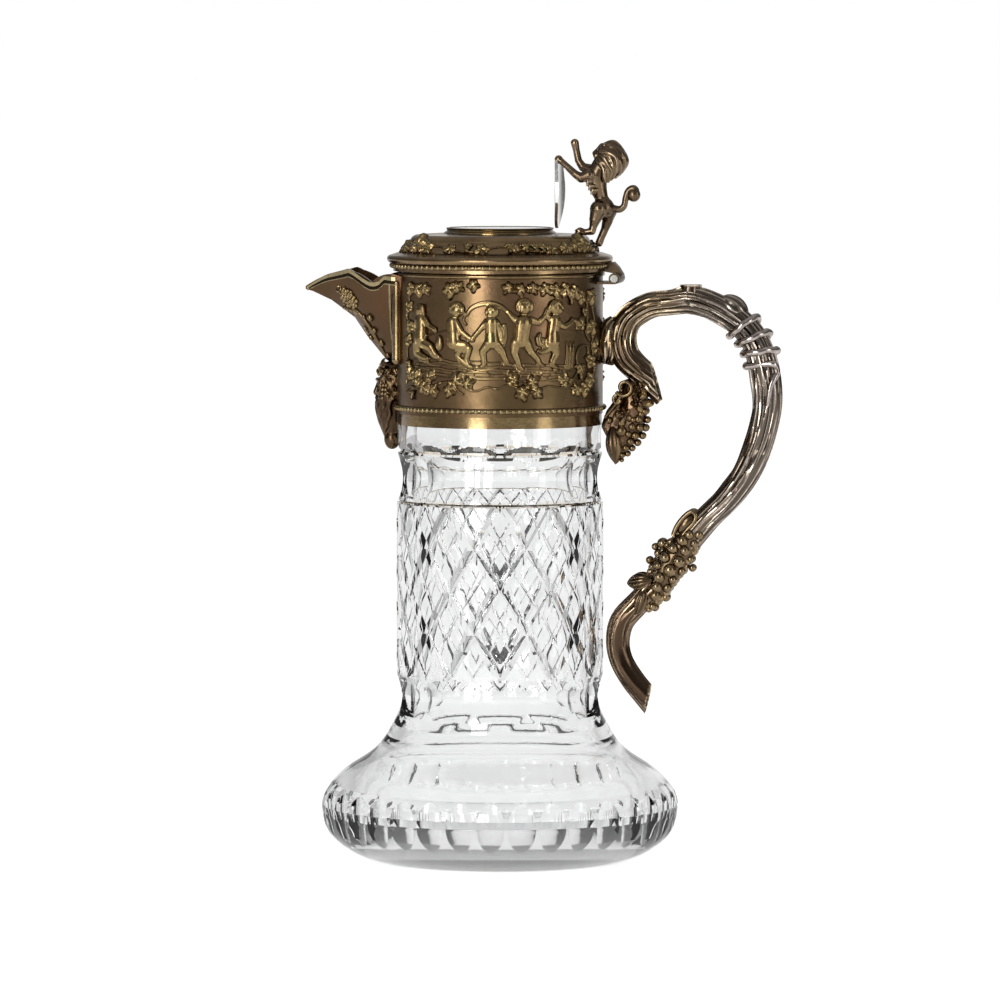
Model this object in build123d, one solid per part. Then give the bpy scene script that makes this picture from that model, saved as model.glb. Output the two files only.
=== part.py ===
from build123d import *
import math
import os

# A tall cut-glass claret jug with a gilt metal mount. Millimetres, +Z up.
# The origin is the middle of the foot. The spout points to -X and the handle stands at +X.

# Glass vessel
foot_radius = 49.0
base_radius = 71.4
base_widest_height = 22.0
base_floor_thickness = 11.0
base_wall = 7.0
shoulder_height = 35.0
body_radius = 41.4
body_wall = 5.4
diamond_band_height = 86.2
hollow_band_height = 20.8
hollow_band_set_in = 0.2
ring_cut_depth = 1.6
ring_cut_half_width = 1.2
arch_band_height = 10.5
arch_band_set_in = 1.4
neck_set_in = 2.2
neck_wall = 4.6
neck_height = 22.5

# Cutting of the glass
cuts_round = 12
cut_turn = -82.0
diamond_height = 33.7
mitre_cut_depth = 1.6
mitre_cut_slope = 1.1
mitre_cut_run_out = 0.6
upper_hollow_depth = 2.7
upper_hollow_wheel = 20.5
lower_hollow_depth = 2.3
lower_hollow_wheel = 16.5
lower_hollow_rise = 9.2
hollow_cut_length = 26.0
flutes_round = 36
flute_turn = 7.0
flute_depth = 1.75
flute_wheel = 9.4
flute_length = 26.0

# Mount round the neck
cement_thickness = 1.0
collar_wall = 0.9
base_band_height = 4.5
base_band_wall = 1.5
seal_ring_thickness = 1.6
collar_height = 59.1
lower_bead_height = 7.0
bead_wire_width = 2.0
bead_wire_reach = 1.0
rim_wire_height = 1.9
rim_wire_reach = 0.9

# Spout
beak_length = 37.5
beak_root_half_width = 16.5
beak_peak_half_width = 11.5
beak_wall = 1.2
beak_tip_drop = 4.6
beak_peak_rise = 2.6
edge_moulding_reach = 0.9
edge_moulding_height = 2.2
root_moulding_radius = 2.0
mask_reach = 9.0

# Handle
branch_scale = 1.0
tendril_radius = 1.2
tendril_turns = 3

# Hinge
hinge_stand_off = 5.9
hinge_axis_drop = 0.6
hinge_length = 17.6
lid_knuckle_length = 7.2
knuckle_radius = 2.2
pin_radius = 1.1
pin_head_radius = 1.5
pin_head_length = 0.6
pin_clearance = 0.05
knuckle_gap = 0.25
leaf_thickness = 0.9

# Lid
lid_seat_gap = 0.3
lid_rim_reach = 4.0
lid_rim_roll = 1.5
lid_rim_height = 3.2
lid_skirt_overhang = 0.6
lid_bead_height = 2.2
lid_dome_height = 15.0
lid_wall = 1.2
flange_depth = 3.6
flange_wall = 1.3
flange_clearance = 0.8
boss_radius = 21.7
boss_ring_width = 4.6
boss_height = 2.0
plaque_thickness = 1.4

# Thumbpiece
lion_height = 42.0
shield_width = 20.0
shield_height = 27.0
shield_thickness = 1.2
shield_curve_radius = 40.0

# Places worked out from the sizes above
body_foot_z = base_widest_height + shoulder_height
body_top_z = body_foot_z + diamond_band_height
ring_cut_z = body_top_z + hollow_band_height
mount_z = ring_cut_z + arch_band_height
glass_rim_z = mount_z + neck_height
neck_radius = body_radius - neck_set_in
collar_inner_radius = neck_radius + cement_thickness
collar_radius = collar_inner_radius + collar_wall
collar_foot_z = mount_z + base_band_height
collar_top_z = mount_z + collar_height
mouth_z = collar_top_z + rim_wire_height
lid_z = mouth_z + lid_seat_gap
lid_inner_radius = collar_inner_radius - flange_clearance
lid_skirt_radius = collar_radius + rim_wire_reach + lid_skirt_overhang
hinge_x = collar_radius + hinge_stand_off
hinge_z = collar_top_z - hinge_axis_drop
crown_z = lid_z + lid_dome_height
plaque_radius = boss_radius - boss_ring_width
lid_rim_radius = collar_radius + lid_rim_reach
lid_bead_top_z = lid_z + lid_bead_height + bead_wire_width / 2
lid_rim_top_z = lid_bead_top_z + lid_rim_height


def turned(*edges):
    """Spin a closed outline, drawn in the XZ plane, round the jug's axis."""
    return revolve(make_face(Wire(list(edges))), Axis.Z, 360)


def at(radius, height):
    return Vector(radius, 0, height)


def chain(points):
    """Straight lines from point to point."""
    return [Line(a, b) for a, b in zip(points, points[1:])]


def ring(inner, outer, low, high):
    """Plain ring of rectangular section."""
    corners = [at(inner, low), at(outer, low), at(outer, high), at(inner, high), at(inner, low)]
    return turned(*chain(corners))


def half_round(radius, height, width, reach):
    """Wire of half-round section soldered round a wall of the given radius."""
    low = at(radius, height - width / 2)
    high = at(radius, height + width / 2)
    return turned(Line(high, low), ThreePointArc(low, at(radius + reach, height), high))


def drum(radius, low, high):
    return Pos(0, 0, (low + high) / 2) * Cylinder(radius, high - low)


def between(start, end):
    """Plane at the middle of two points, facing along the line that joins them."""
    return Plane(origin=(start + end) / 2, z_dir=end - start)


def limb(stations):
    """Cast limb through balls given as (x, y, z, radius), joined by tapers."""
    joint_swell = 1.02
    solids = []
    for x, y, z, r in stations:
        solids.append(Pos(x, y, z) * Sphere(r * joint_swell))
    for a, b in zip(stations, stations[1:]):
        start = Vector(*a[:3])
        end = Vector(*b[:3])
        length = (end - start).length
        if abs(a[3] - b[3]) < 0.02:
            taper = Cylinder(a[3], length)
        else:
            taper = Cone(a[3], b[3], length)
        solids.append(between(start, end) * taper)
    return solids


def cast(*limbs):
    """One casting from several limbs."""
    solids = [solid for each in limbs for solid in each]
    return solids[0].fuse(*solids[1:])


# Glass
def on_round(radius, angle, height):
    turn = math.radians(angle)
    return Vector(radius * math.cos(turn), radius * math.sin(turn), height)


def mitre_cut(start_angle, start_z, end_angle, end_z):
    """Straight length of V cut from one crossing to the next."""
    start = on_round(body_radius, start_angle, start_z)
    run = on_round(body_radius, end_angle, end_z) - start
    ahead = run.normalized()
    out = on_round(1, (start_angle + end_angle) / 2, 0)
    clear = 2.0
    half = (mitre_cut_depth + clear) * mitre_cut_slope
    place = Plane(origin=start - ahead * mitre_cut_run_out, x_dir=out, z_dir=ahead)
    outline = Polyline((-mitre_cut_depth, 0), (clear, half), (clear, -half), close=True)
    return extrude(place * make_face(outline), amount=run.length + 2 * mitre_cut_run_out)


def diamond_cuts():
    """Crossed V cuts, two diamonds high, in short lengths that follow the round."""
    across = 180.0 / cuts_round
    up = diamond_height / 2
    foot_z = body_top_z - 2 * diamond_height
    cutters = []
    for turn in range(cuts_round):
        for step in range(4):
            z = foot_z + up * step
            for way in (-1, 1):
                angle = cut_turn + 2 * across * turn + way * across * step
                cutters.append(mitre_cut(angle, z, angle + way * across, z + up))
    return cutters


def hollow_cuts():
    """Hollow panels, each ground by the rim of a wheel that lies level."""
    cutters = []
    for turn in range(cuts_round):
        angle = cut_turn + 360.0 / cuts_round * turn
        for depth, wheel, height in (
            (upper_hollow_depth, upper_hollow_wheel, (body_top_z + ring_cut_z) / 2),
            (lower_hollow_depth, lower_hollow_wheel, body_foot_z + lower_hollow_rise),
        ):
            centre = on_round(body_radius - depth + wheel, angle, height)
            place = Plane(origin=centre, z_dir=on_round(1, angle + 90, 0))
            cutters.append(place * Cylinder(wheel, hollow_cut_length))
    return cutters


def flute_cuts():
    """Oval flutes round the widest part of the base."""
    cutters = []
    for turn in range(flutes_round):
        angle = cut_turn + flute_turn + 360.0 / flutes_round * turn
        centre = on_round(base_radius - flute_depth + flute_wheel, angle, base_widest_height)
        cutters.append(Pos(*centre) * Cylinder(flute_wheel, flute_length))
    return cutters


def glass_body():
    zw = base_widest_height
    inner_radius = body_radius - body_wall
    neck_bore = neck_radius - neck_wall
    band_radius = body_radius - hollow_band_set_in
    arch_radius = body_radius - arch_band_set_in
    foot = at(foot_radius, 0)
    widest = at(base_radius, zw)
    brow = at(base_radius - 6.6, zw + shoulder_height * 0.34)
    slope_end = at(body_radius + 9.2, zw + shoulder_height * 0.625)
    body_foot = at(body_radius, body_foot_z)
    outside = [
        ThreePointArc(
            foot,
            at(foot_radius + (base_radius - foot_radius) * 0.66, zw * 0.28),
            widest,
        ),
        ThreePointArc(widest, at(base_radius - 2.1, zw + shoulder_height * 0.19), brow),
        Line(brow, slope_end),
        ThreePointArc(slope_end, at(body_radius + 3.6, zw + shoulder_height * 0.82), body_foot),
    ]
    upper = [
        body_foot,
        at(body_radius, body_top_z - ring_cut_half_width),
        at(body_radius - ring_cut_depth, body_top_z),
        at(band_radius, body_top_z + ring_cut_half_width),
        at(band_radius, ring_cut_z - ring_cut_half_width),
        at(band_radius - ring_cut_depth, ring_cut_z),
        at(arch_radius, ring_cut_z + ring_cut_half_width),
        at(arch_radius, mount_z),
        at(neck_radius, mount_z),
        at(neck_radius, glass_rim_z),
        at(neck_bore, glass_rim_z),
        at(neck_bore, ring_cut_z),
        at(inner_radius, body_top_z),
        at(inner_radius, body_foot_z),
    ]
    shoulder_in = at(inner_radius + 11.0, zw + shoulder_height * 0.49)
    brow_in = at(base_radius - base_wall - 3.2, zw + shoulder_height * 0.205)
    belly_in = at(base_radius - base_wall, zw)
    heel_in = at(base_radius - base_wall - 5.5, base_floor_thickness + (zw - base_floor_thickness) * 0.4)
    floor_edge = at(base_radius - base_wall - 13.0, base_floor_thickness)
    inside = [
        ThreePointArc(
            upper[-1], at(inner_radius + 4.0, zw + shoulder_height * 0.72), shoulder_in
        ),
        Line(shoulder_in, brow_in),
        ThreePointArc(brow_in, belly_in, heel_in),
        Line(heel_in, floor_edge),
    ]
    underside = [floor_edge, at(0, base_floor_thickness), at(0, 0), foot]
    blank = turned(*outside, *chain(upper), *inside, *chain(underside))
    return blank.cut(*flute_cuts()).cut(*hollow_cuts()).cut(*diamond_cuts())


# Mount
def collar_rim_wire():
    top_inner = at(collar_inner_radius, mouth_z)
    top_outer = at(collar_radius, mouth_z)
    foot_inner = at(collar_inner_radius, collar_top_z)
    foot_outer = at(collar_radius, collar_top_z)
    belly = at(collar_radius + rim_wire_reach, (collar_top_z + mouth_z) / 2)
    return turned(
        Line(foot_inner, foot_outer),
        ThreePointArc(foot_outer, belly, top_outer),
        Line(top_outer, top_inner),
        Line(top_inner, foot_inner),
    )


# Spout: stations along the beak, measured outward from the collar's face
def beak_sections(inset):
    """Stations as (distance out from the collar, half width, keel height, top height)."""
    top = mouth_z + 12.0
    peak_out = beak_length * 0.47
    stations = [
        (-6.0, beak_root_half_width, -39.0),
        (0.0, beak_root_half_width, -37.0),
        (beak_length * 0.13, beak_root_half_width - 1.6, -33.6),
        (beak_length * 0.34, beak_peak_half_width + 1.3, -24.0),
        (peak_out, beak_peak_half_width, -16.8),
        (beak_length * 0.72, beak_peak_half_width * 0.56, -9.9),
        (beak_length * 0.92, beak_peak_half_width * 0.2, -6.4),
        (beak_length, 0.9, -5.6),
    ]
    faces = []
    for out, half, keel in stations:
        w = half - inset
        low = collar_top_z + keel + inset * 1.6
        if w < 0.4:
            continue
        x = -(collar_radius + out)
        bottom = Vector(x, 0, low)
        flank = low + (top - low) * 0.3
        left = Vector(x, -w, top)
        right = Vector(x, w, top)
        outline = [
            ThreePointArc(left, Vector(x, -w * 0.7, flank), bottom),
            ThreePointArc(bottom, Vector(x, w * 0.7, flank), right),
            Line(right, left),
        ]
        faces.append(make_face(Wire(outline)))
    return faces


def beak_solid(inset):
    return loft(beak_sections(inset), ruled=True)


def beak_edge_points():
    """The beak's upper edge from its root to its tip, as (distance out, height)."""
    return [
        (-4.0, 0.0),
        (3.4, 0.8),
        (8.4, -2.2),
        (beak_length * 0.36, 1.0),
        (beak_length * 0.5, beak_peak_rise),
        (beak_length * 0.76, 0.2),
        (beak_length + 0.4, -beak_tip_drop),
    ]


def beak_edge_profile():
    """Side view of everything that may stand below the beak's upper edge."""
    points = [Vector(-(collar_radius + out), 0, collar_top_z + rise) for out, rise in beak_edge_points()]
    floor_z = collar_top_z - collar_height
    upper = [
        ThreePointArc(points[0], points[1], points[2]),
        ThreePointArc(points[2], points[3], points[4]),
        ThreePointArc(points[4], points[5], points[6]),
    ]
    box = chain([points[6], Vector(points[6].X, 0, floor_z), Vector(points[0].X, 0, floor_z), points[0]])
    face = make_face(Wire(upper + box))
    return extrude(face, amount=beak_root_half_width * 2, both=True)


def spout_pieces(rim_wire):
    """Beak, its inside, its rolled edge and its outside without the hollow."""
    outer = beak_solid(0.0)
    inner = beak_solid(beak_wall)
    collar_core = drum(collar_radius, mount_z, mouth_z + 20)
    beak = (outer & beak_edge_profile()) - inner - collar_core - rim_wire
    below = beak_edge_profile()
    edge_band = below - Pos(0, 0, -edge_moulding_height) * below
    wide = beak_solid(-edge_moulding_reach)
    moulding = (wide & edge_band) - outer - collar_core - rim_wire
    return beak, inner, moulding, outer


def spout_root_mouldings(outer):
    reach = beak_root_half_width - 0.7
    x = -math.sqrt(collar_radius**2 - reach**2) - root_moulding_radius * 0.6
    low = collar_top_z - 33.0
    high = collar_top_z - 2.6
    core = drum(collar_radius, mount_z, mouth_z + 20)
    strips = []
    for side in (-1, 1):
        strip = cast(
            limb(
                [
                    (x, side * reach, low, root_moulding_radius),
                    (x, side * reach, high, root_moulding_radius),
                ]
            )
        )
        strips.append(strip - core - outer)
    return strips


def spout_vine_castings(outer):
    """Grapes, leaf and bunch on each flank of the beak."""
    castings = []
    for side in (-1, 1):
        bunch = [
            (20.6, 8.2, -5.6, 2.6),
            (18.6, 7.4, -9.4, 3.0),
            (15.6, 6.6, -14.0, 2.8),
        ]
        leaf = [
            (12.2, 7.6, -18.5, 2.8),
            (9.6, 6.0, -24.5, 3.2),
            (6.6, 4.4, -31.0, 3.2),
        ]
        stations = [
            (-(collar_radius + out), side * reach, collar_top_z + drop, r)
            for out, reach, drop, r in bunch + leaf
        ]
        castings.append(cast(limb(stations)) - outer)
    return castings


def spout_mask(bead_wire, outer):
    """Bearded mask in the round behind, flat where it meets the collar."""
    front = collar_radius + mask_reach
    head = limb(
        [
            (-(front - 8.0), 0, collar_top_z - 40.0, 6.6),
            (-(front - 7.6), 0, collar_top_z - 49.0, 7.4),
            (-(front - 6.8), 0, collar_top_z - 57.5, 6.0),
            (-(front - 6.4), 0, collar_top_z - 63.4, 3.2),
        ]
    )
    locks = [
        limb(
            [
                (-(front - 9.4), side * 6.4, collar_top_z - 42.5, 3.4),
                (-(front - 9.8), side * 7.6, collar_top_z - 51.0, 3.2),
                (-(front - 9.0), side * 4.6, collar_top_z - 59.0, 3.0),
            ]
        )
        for side in (-1, 1)
    ]
    core = drum(collar_radius, mount_z - 30, mouth_z + 20)
    return cast(head, *locks) - core - bead_wire - outer


# Handle: distances out from the collar's face and down from its top
def branch_stations():
    line = [
        (20.4, -41.6, 5.4),
        (14.2, -37.0, 5.6),
        (9.6, -32.0, 6.0),
        (8.0, -26.4, 6.2),
        (8.8, -20.6, 5.9),
        (11.8, -15.8, 5.5),
        (19.4, -11.4, 5.0),
        (27.8, -10.2, 5.0),
        (35.6, -9.2, 5.8),
        (44.0, -11.6, 5.8),
        (52.6, -16.4, 5.7),
        (58.9, -22.0, 5.7),
        (63.0, -29.0, 5.8),
        (65.6, -40.2, 6.1),
        (66.4, -50.0, 5.9),
        (64.7, -60.2, 5.8),
        (61.8, -69.4, 5.7),
        (57.2, -79.0, 5.5),
        (50.1, -88.6, 5.3),
        (42.0, -96.8, 5.1),
        (33.4, -107.0, 5.0),
        (23.4, -120.0, 4.9),
        (14.6, -130.2, 4.8),
        (8.2, -137.6, 4.7),
        (6.4, -145.6, 4.6),
        (8.0, -153.6, 4.5),
        (12.6, -161.4, 4.6),
        (18.6, -168.6, 4.7),
    ]
    return [
        (collar_radius + out, 0, collar_top_z + rise, r * branch_scale) for out, rise, r in line
    ]


def sawn_end(stations, slant):
    """Half space beyond the cut end of a branch, as a box turned by the slant."""
    end = Vector(*stations[0][:3])
    along = (end - Vector(*stations[1][:3])).normalized()
    direction = along.rotate(Axis.Y, slant)
    size = 40.0
    return Plane(origin=end + direction * size / 2, z_dir=direction) * Box(size, size, size)


def handle_branch():
    stations = branch_stations()
    x0 = collar_radius
    z0 = collar_top_z
    s = branch_scale
    knot = limb([(x0 + 35.4, 0, z0 - 8.6, 4.8 * s), (x0 + 35.6, 0, z0 - 4.6, 4.2 * s)])
    bud = limb([(x0 + 45.0, 0, z0 - 9.4, 4.4 * s), (x0 + 52.4, 0, z0 - 11.6, 4.8 * s)])
    root = limb([(x0 + 2.6, 0, z0 - 30.5, 5.4 * s), (x0 + 2.6, 0, z0 - 22.0, 5.2 * s)])
    body = cast(limb(stations), knot, bud, root)
    body = body - sawn_end(stations, 0) - sawn_end(stations[::-1], -28)
    return body - drum(collar_radius, mount_z, mouth_z)


def handle_tendril(branch):
    """One tendril wound in open turns round the branch, ending in a tail."""
    stations = branch_stations()
    start = Vector(*stations[10][:3])
    end = Vector(*stations[12][:3])
    axis = (end - start).normalized()
    side = Vector(0, 1, 0)
    up = axis.cross(side)
    steps_per_turn = 8
    count = tendril_turns * steps_per_turn
    coil_radius = 5.75 * branch_scale + tendril_radius * 0.45
    line = []
    for step in range(count + 1):
        angle = 2 * math.pi * step / steps_per_turn
        centre = start + (end - start) * (step / count)
        point = centre + (side * math.cos(angle) + up * math.sin(angle)) * coil_radius
        line.append((point.X, point.Y, point.Z, tendril_radius))
    return cast(limb(line)) - branch


def handle_grapes(branch):
    """Bunch that swells round the lower branch."""
    stations = branch_stations()
    bunch = [
        (stations[20][0] + 3.0, 0, stations[20][2] + 4.0, 5.6),
        (stations[20][0] + 1.0, 0, stations[20][2] - 2.0, 8.6),
        (stations[21][0] + 4.6, 0, stations[21][2] + 4.6, 10.0),
        (stations[21][0] + 1.6, 0, stations[21][2] - 4.0, 9.4),
        (stations[22][0] + 4.2, 0, stations[22][2] + 0.4, 7.4),
        (stations[23][0] + 8.6, 0, stations[23][2] + 0.6, 4.4),
    ]
    return cast(limb([(x, y, z, r * branch_scale) for x, y, z, r in bunch])) - branch


def handle_leaves(branch, grapes):
    """Leaf over the top of the bunch and two smaller ones below it."""
    stations = branch_stations()
    s = branch_scale
    high = (stations[19][0] - 2.2, stations[19][2] - 3.0)
    low = (stations[22][0] - 1.0, stations[22][2] - 3.6)
    leaves = []
    for side in (-1, 1):
        top_leaf = limb(
            [
                (high[0] + 2.0, side * 2.6 * s, high[1] + 2.4, 3.4 * s),
                (high[0] - 3.6, side * 3.6 * s, high[1] - 2.6, 3.6 * s),
            ]
        )
        low_leaf = limb(
            [
                (low[0] + 2.4, side * 3.4 * s, low[1] + 1.2, 3.2 * s),
                (low[0] + 0.4, side * 4.0 * s, low[1] - 5.6, 2.8 * s),
            ]
        )
        leaves.append(cast(top_leaf) - branch - grapes)
        leaves.append(cast(low_leaf) - branch - grapes)
    return leaves


def handle_vine_spray(branch, bead_wire):
    """Grapes and a leaf that hang from the upper stub to the collar's foot."""
    x0 = collar_radius
    z0 = collar_top_z
    body = limb(
        [
            (x0 + 12.8, 0, z0 - 44.6, 6.6),
            (x0 + 11.8, 0, z0 - 52.0, 7.6),
            (x0 + 9.8, 0, z0 - 59.6, 6.4),
            (x0 + 7.4, 0, z0 - 66.4, 4.2),
            (x0 + 5.6, 0, z0 - 72.4, 1.8),
        ]
    )
    stem = limb(
        [
            (x0 + 8.6, 0, z0 - 48.6, 3.2),
            (x0 + 2.6, 0, z0 - 55.4, 3.4),
            (x0 + 7.6, 0, z0 - 60.4, 3.4),
        ]
    )
    core = drum(collar_radius, mount_z - 30, mouth_z + 20)
    return cast(body, stem) - branch - core - bead_wire


# Hinge
def across(radius, start, length):
    """Round bar along Y from a starting place, on the hinge's axis."""
    centre = Vector(hinge_x, start + length / 2, hinge_z)
    return Plane(origin=centre, z_dir=(0, 1, 0)) * Cylinder(radius, length)


def slab(points, start, length):
    """Outline in the XZ plane, carried along Y from a starting place."""
    corners = [Vector(x, start, z) for x, z in points]
    face = make_face(Wire(chain(corners + corners[:1])))
    return extrude(face, amount=length, dir=(0, 1, 0))


def hinge_fixed_leaf():
    fixed_length = (hinge_length - lid_knuckle_length) / 2 - knuckle_gap
    leaf_z = hinge_z - knuckle_radius
    plate = slab(
        [
            (collar_radius - 2.0, leaf_z),
            (hinge_x, leaf_z),
            (hinge_x, leaf_z + leaf_thickness),
            (collar_radius - 2.0, leaf_z + leaf_thickness),
        ],
        -hinge_length / 2,
        hinge_length,
    )
    web_cut = slab(
        [
            (hinge_x - knuckle_radius - 0.4, leaf_z - 1.0),
            (hinge_x + knuckle_radius, leaf_z - 1.0),
            (hinge_x + knuckle_radius, hinge_z + knuckle_radius),
            (hinge_x - knuckle_radius - 0.4, hinge_z + knuckle_radius),
        ],
        -lid_knuckle_length / 2 - knuckle_gap,
        lid_knuckle_length + 2 * knuckle_gap,
    )
    leaf = plate - web_cut
    for start in (-hinge_length / 2, lid_knuckle_length / 2 + knuckle_gap):
        leaf = leaf + across(knuckle_radius, start, fixed_length)
    leaf = leaf - across(pin_radius, -hinge_length, 2 * hinge_length)
    return leaf - drum(collar_radius, mount_z, mouth_z)


def hinge_pin():
    pin = across(pin_radius, -hinge_length / 2, hinge_length)
    for start in (-hinge_length / 2 - pin_head_length, hinge_length / 2):
        pin = pin + across(pin_head_radius, start, pin_head_length)
    return pin


def hinge_lid_leaf(dome):
    """Leaf whose tongue reaches under the lid's bead wire to its skirt."""
    x = hinge_x
    top = lid_bead_top_z + 0.4
    bead_face = lid_skirt_radius + bead_wire_reach + 0.15
    tongue_top = lid_bead_top_z - bead_wire_width - 0.1
    plate = slab(
        [
            (lid_skirt_radius - 1.0, lid_z),
            (x, lid_z - 1.0),
            (x + knuckle_radius * 0.9, hinge_z + 0.6),
            (x + knuckle_radius + 0.5, hinge_z + 1.4),
            (x + knuckle_radius * 0.4, lid_z + 1.6),
            (x - 1.0, top),
            (bead_face, top),
            (bead_face, tongue_top),
            (lid_skirt_radius - 1.0, tongue_top),
        ],
        -lid_knuckle_length / 2,
        lid_knuckle_length,
    )
    leaf = plate + across(knuckle_radius, -lid_knuckle_length / 2, lid_knuckle_length)
    leaf = leaf - across(pin_radius + pin_clearance, -hinge_length, 2 * hinge_length)
    return leaf - dome


# Lid
def lid_shell():
    skirt = lid_skirt_radius
    rim = lid_rim_radius
    bead_top = lid_bead_top_z
    rim_top = lid_rim_top_z
    roll_foot = at(rim - lid_rim_roll, bead_top)
    roll_top = at(rim - lid_rim_roll, rim_top)
    step = at(rim - 7.6, lid_z + lid_dome_height * 0.64)
    neck = at(rim - 9.2, lid_z + lid_dome_height * 0.8)
    brow = at(rim - 12.0, crown_z - 0.6)
    outside = [
        Line(at(lid_inner_radius, lid_z), at(skirt, lid_z)),
        Line(at(skirt, lid_z), at(skirt, bead_top)),
        Line(at(skirt, bead_top), roll_foot),
        ThreePointArc(roll_foot, at(rim, bead_top + lid_rim_height / 2), roll_top),
        Line(roll_top, at(rim - 4.0, rim_top + 0.8)),
        ThreePointArc(at(rim - 4.0, rim_top + 0.8), at(rim - 6.2, rim_top + 1.4), step),
        Line(step, neck),
        ThreePointArc(neck, at(rim - 10.0, crown_z - 1.6), brow),
        Line(brow, at(boss_radius, crown_z)),
        Line(at(boss_radius, crown_z), at(0, crown_z)),
    ]
    under = chain(
        [
            at(0, crown_z),
            at(0, crown_z - lid_wall),
            at(rim - 12.6, crown_z - lid_wall - 0.6),
            at(rim - 10.6, lid_z + lid_dome_height * 0.76),
            at(rim - 9.2, lid_z + lid_dome_height * 0.58),
            at(lid_inner_radius - 2.0, rim_top - 0.8),
            at(lid_inner_radius, rim_top - 2.6),
            at(lid_inner_radius, lid_z),
        ]
    )
    return turned(*outside, *under)


def lid_bead_wire():
    return half_round(lid_skirt_radius, lid_z + lid_bead_height, bead_wire_width, bead_wire_reach)


def lid_locating_flange():
    return ring(
        lid_inner_radius - flange_wall, lid_inner_radius, lid_z - flange_depth, lid_z + 3.4
    )


def lid_boss_ring():
    low = crown_z
    return turned(
        Line(at(plaque_radius, low), at(boss_radius, low)),
        Line(at(boss_radius, low), at(boss_radius, low + boss_height * 0.5)),
        ThreePointArc(
            at(boss_radius, low + boss_height * 0.5),
            at(boss_radius - 1.4, low + boss_height),
            at(plaque_radius, low + boss_height * 0.7),
        ),
        Line(at(plaque_radius, low + boss_height * 0.7), at(plaque_radius, low)),
    )


def lid_plaque():
    return drum(plaque_radius, crown_z, crown_z + plaque_thickness)


# Thumbpiece
def shield():
    """Spiked shield on edge to the side view, bowed across its width."""
    x = boss_radius + 0.6
    foot = crown_z + boss_height
    w = shield_width / 2
    h = shield_height

    def spot(across_y, up):
        return Vector(0, across_y, foot + up)

    ears = chain(
        [spot(w, h * 0.68), spot(w * 0.76, h), spot(0, h * 0.94), spot(-w * 0.76, h), spot(-w, h * 0.68)]
    )
    outline = [
        ThreePointArc(spot(0, 0), spot(w * 0.84, h * 0.27), spot(w, h * 0.68)),
        *ears,
        ThreePointArc(spot(-w, h * 0.68), spot(-w * 0.84, h * 0.27), spot(0, 0)),
    ]
    block = Pos(x, 0, 0) * extrude(make_face(Wire(outline)), amount=12, dir=(1, 0, 0), both=True)
    centre = Plane(origin=(x + shield_curve_radius, 0, foot + h / 2))
    shell = Cylinder(shield_curve_radius, h * 3) - Cylinder(
        shield_curve_radius - shield_thickness, h * 3
    )
    near_half = Pos(x, 0, foot + h / 2) * Box(24, shield_width * 2, h * 3)
    return block & (centre * shell) & near_half


def lion_figure(shield_solid, lid_solids):
    """Rampant lion: distances from the boss's edge and up from the crown, as shares of its height."""
    x0 = boss_radius
    z0 = crown_z
    k = lion_height / 42.0

    def spot(dx, y, dz, r):
        return (x0 + dx * k, y * k, z0 + dz * k, r * k)

    torso = limb(
        [
            spot(17.6, 0, 9.6, 3.6),
            spot(18.4, 0, 15.6, 3.4),
            spot(17.2, 0, 22.6, 4.9),
            spot(17.6, 0, 27.6, 5.6),
            spot(19.6, 0, 33.0, 4.6),
        ]
    )
    mane = limb([spot(26.6, 0, 35.6, 3.6), spot(23.8, 0, 30.4, 5.6), spot(21.0, 0, 22.8, 3.2)])
    muzzle = limb([spot(19.6, 0, 34.4, 4.0), spot(16.8, 0, 33.4, 2.2)])
    high_arm = limb(
        [spot(15.6, -3.0, 27.6, 2.3), spot(9.0, -4.2, 30.0, 1.7), spot(8.6, -4.4, 36.4, 1.8)]
    )
    low_arm = limb(
        [spot(14.6, 2.6, 24.2, 2.3), spot(8.0, 2.2, 26.6, 1.6), spot(1.6, 0.6, 29.4, 1.6)]
    )
    near_leg = limb(
        [
            spot(17.2, -2.6, 8.6, 3.4),
            spot(14.4, -3.6, 4.2, 2.2),
            spot(15.4, -3.8, 0.9, 1.8),
            spot(11.4, -3.9, 0.7, 1.7),
        ]
    )
    far_leg = limb(
        [
            spot(18.6, 2.6, 8.6, 3.2),
            spot(19.6, 3.4, 3.2, 2.1),
            spot(18.6, 3.6, -0.9, 1.7),
            spot(19.8, 3.6, -3.6, 1.5),
        ]
    )
    tail = limb(
        [
            spot(21.0, 0, 9.8, 1.6),
            spot(26.6, 0, 10.6, 1.2),
            spot(28.8, 0, 13.8, 1.3),
            spot(32.2, 0, 15.4, 2.2),
        ]
    )
    figure = cast(torso, mane, muzzle, high_arm, low_arm, near_leg, far_leg, tail)
    for solid in [shield_solid] + lid_solids:
        figure = figure - solid
    return figure


def write(name, *shapes):
    """Export one node, made of one solid or of several separate ones."""
    solids = [solid for shape in shapes for solid in shape.solids()]
    piece = solids[0] if len(solids) == 1 else Compound(children=solids)
    export_step(piece, f"parts/{name}.step")


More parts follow.
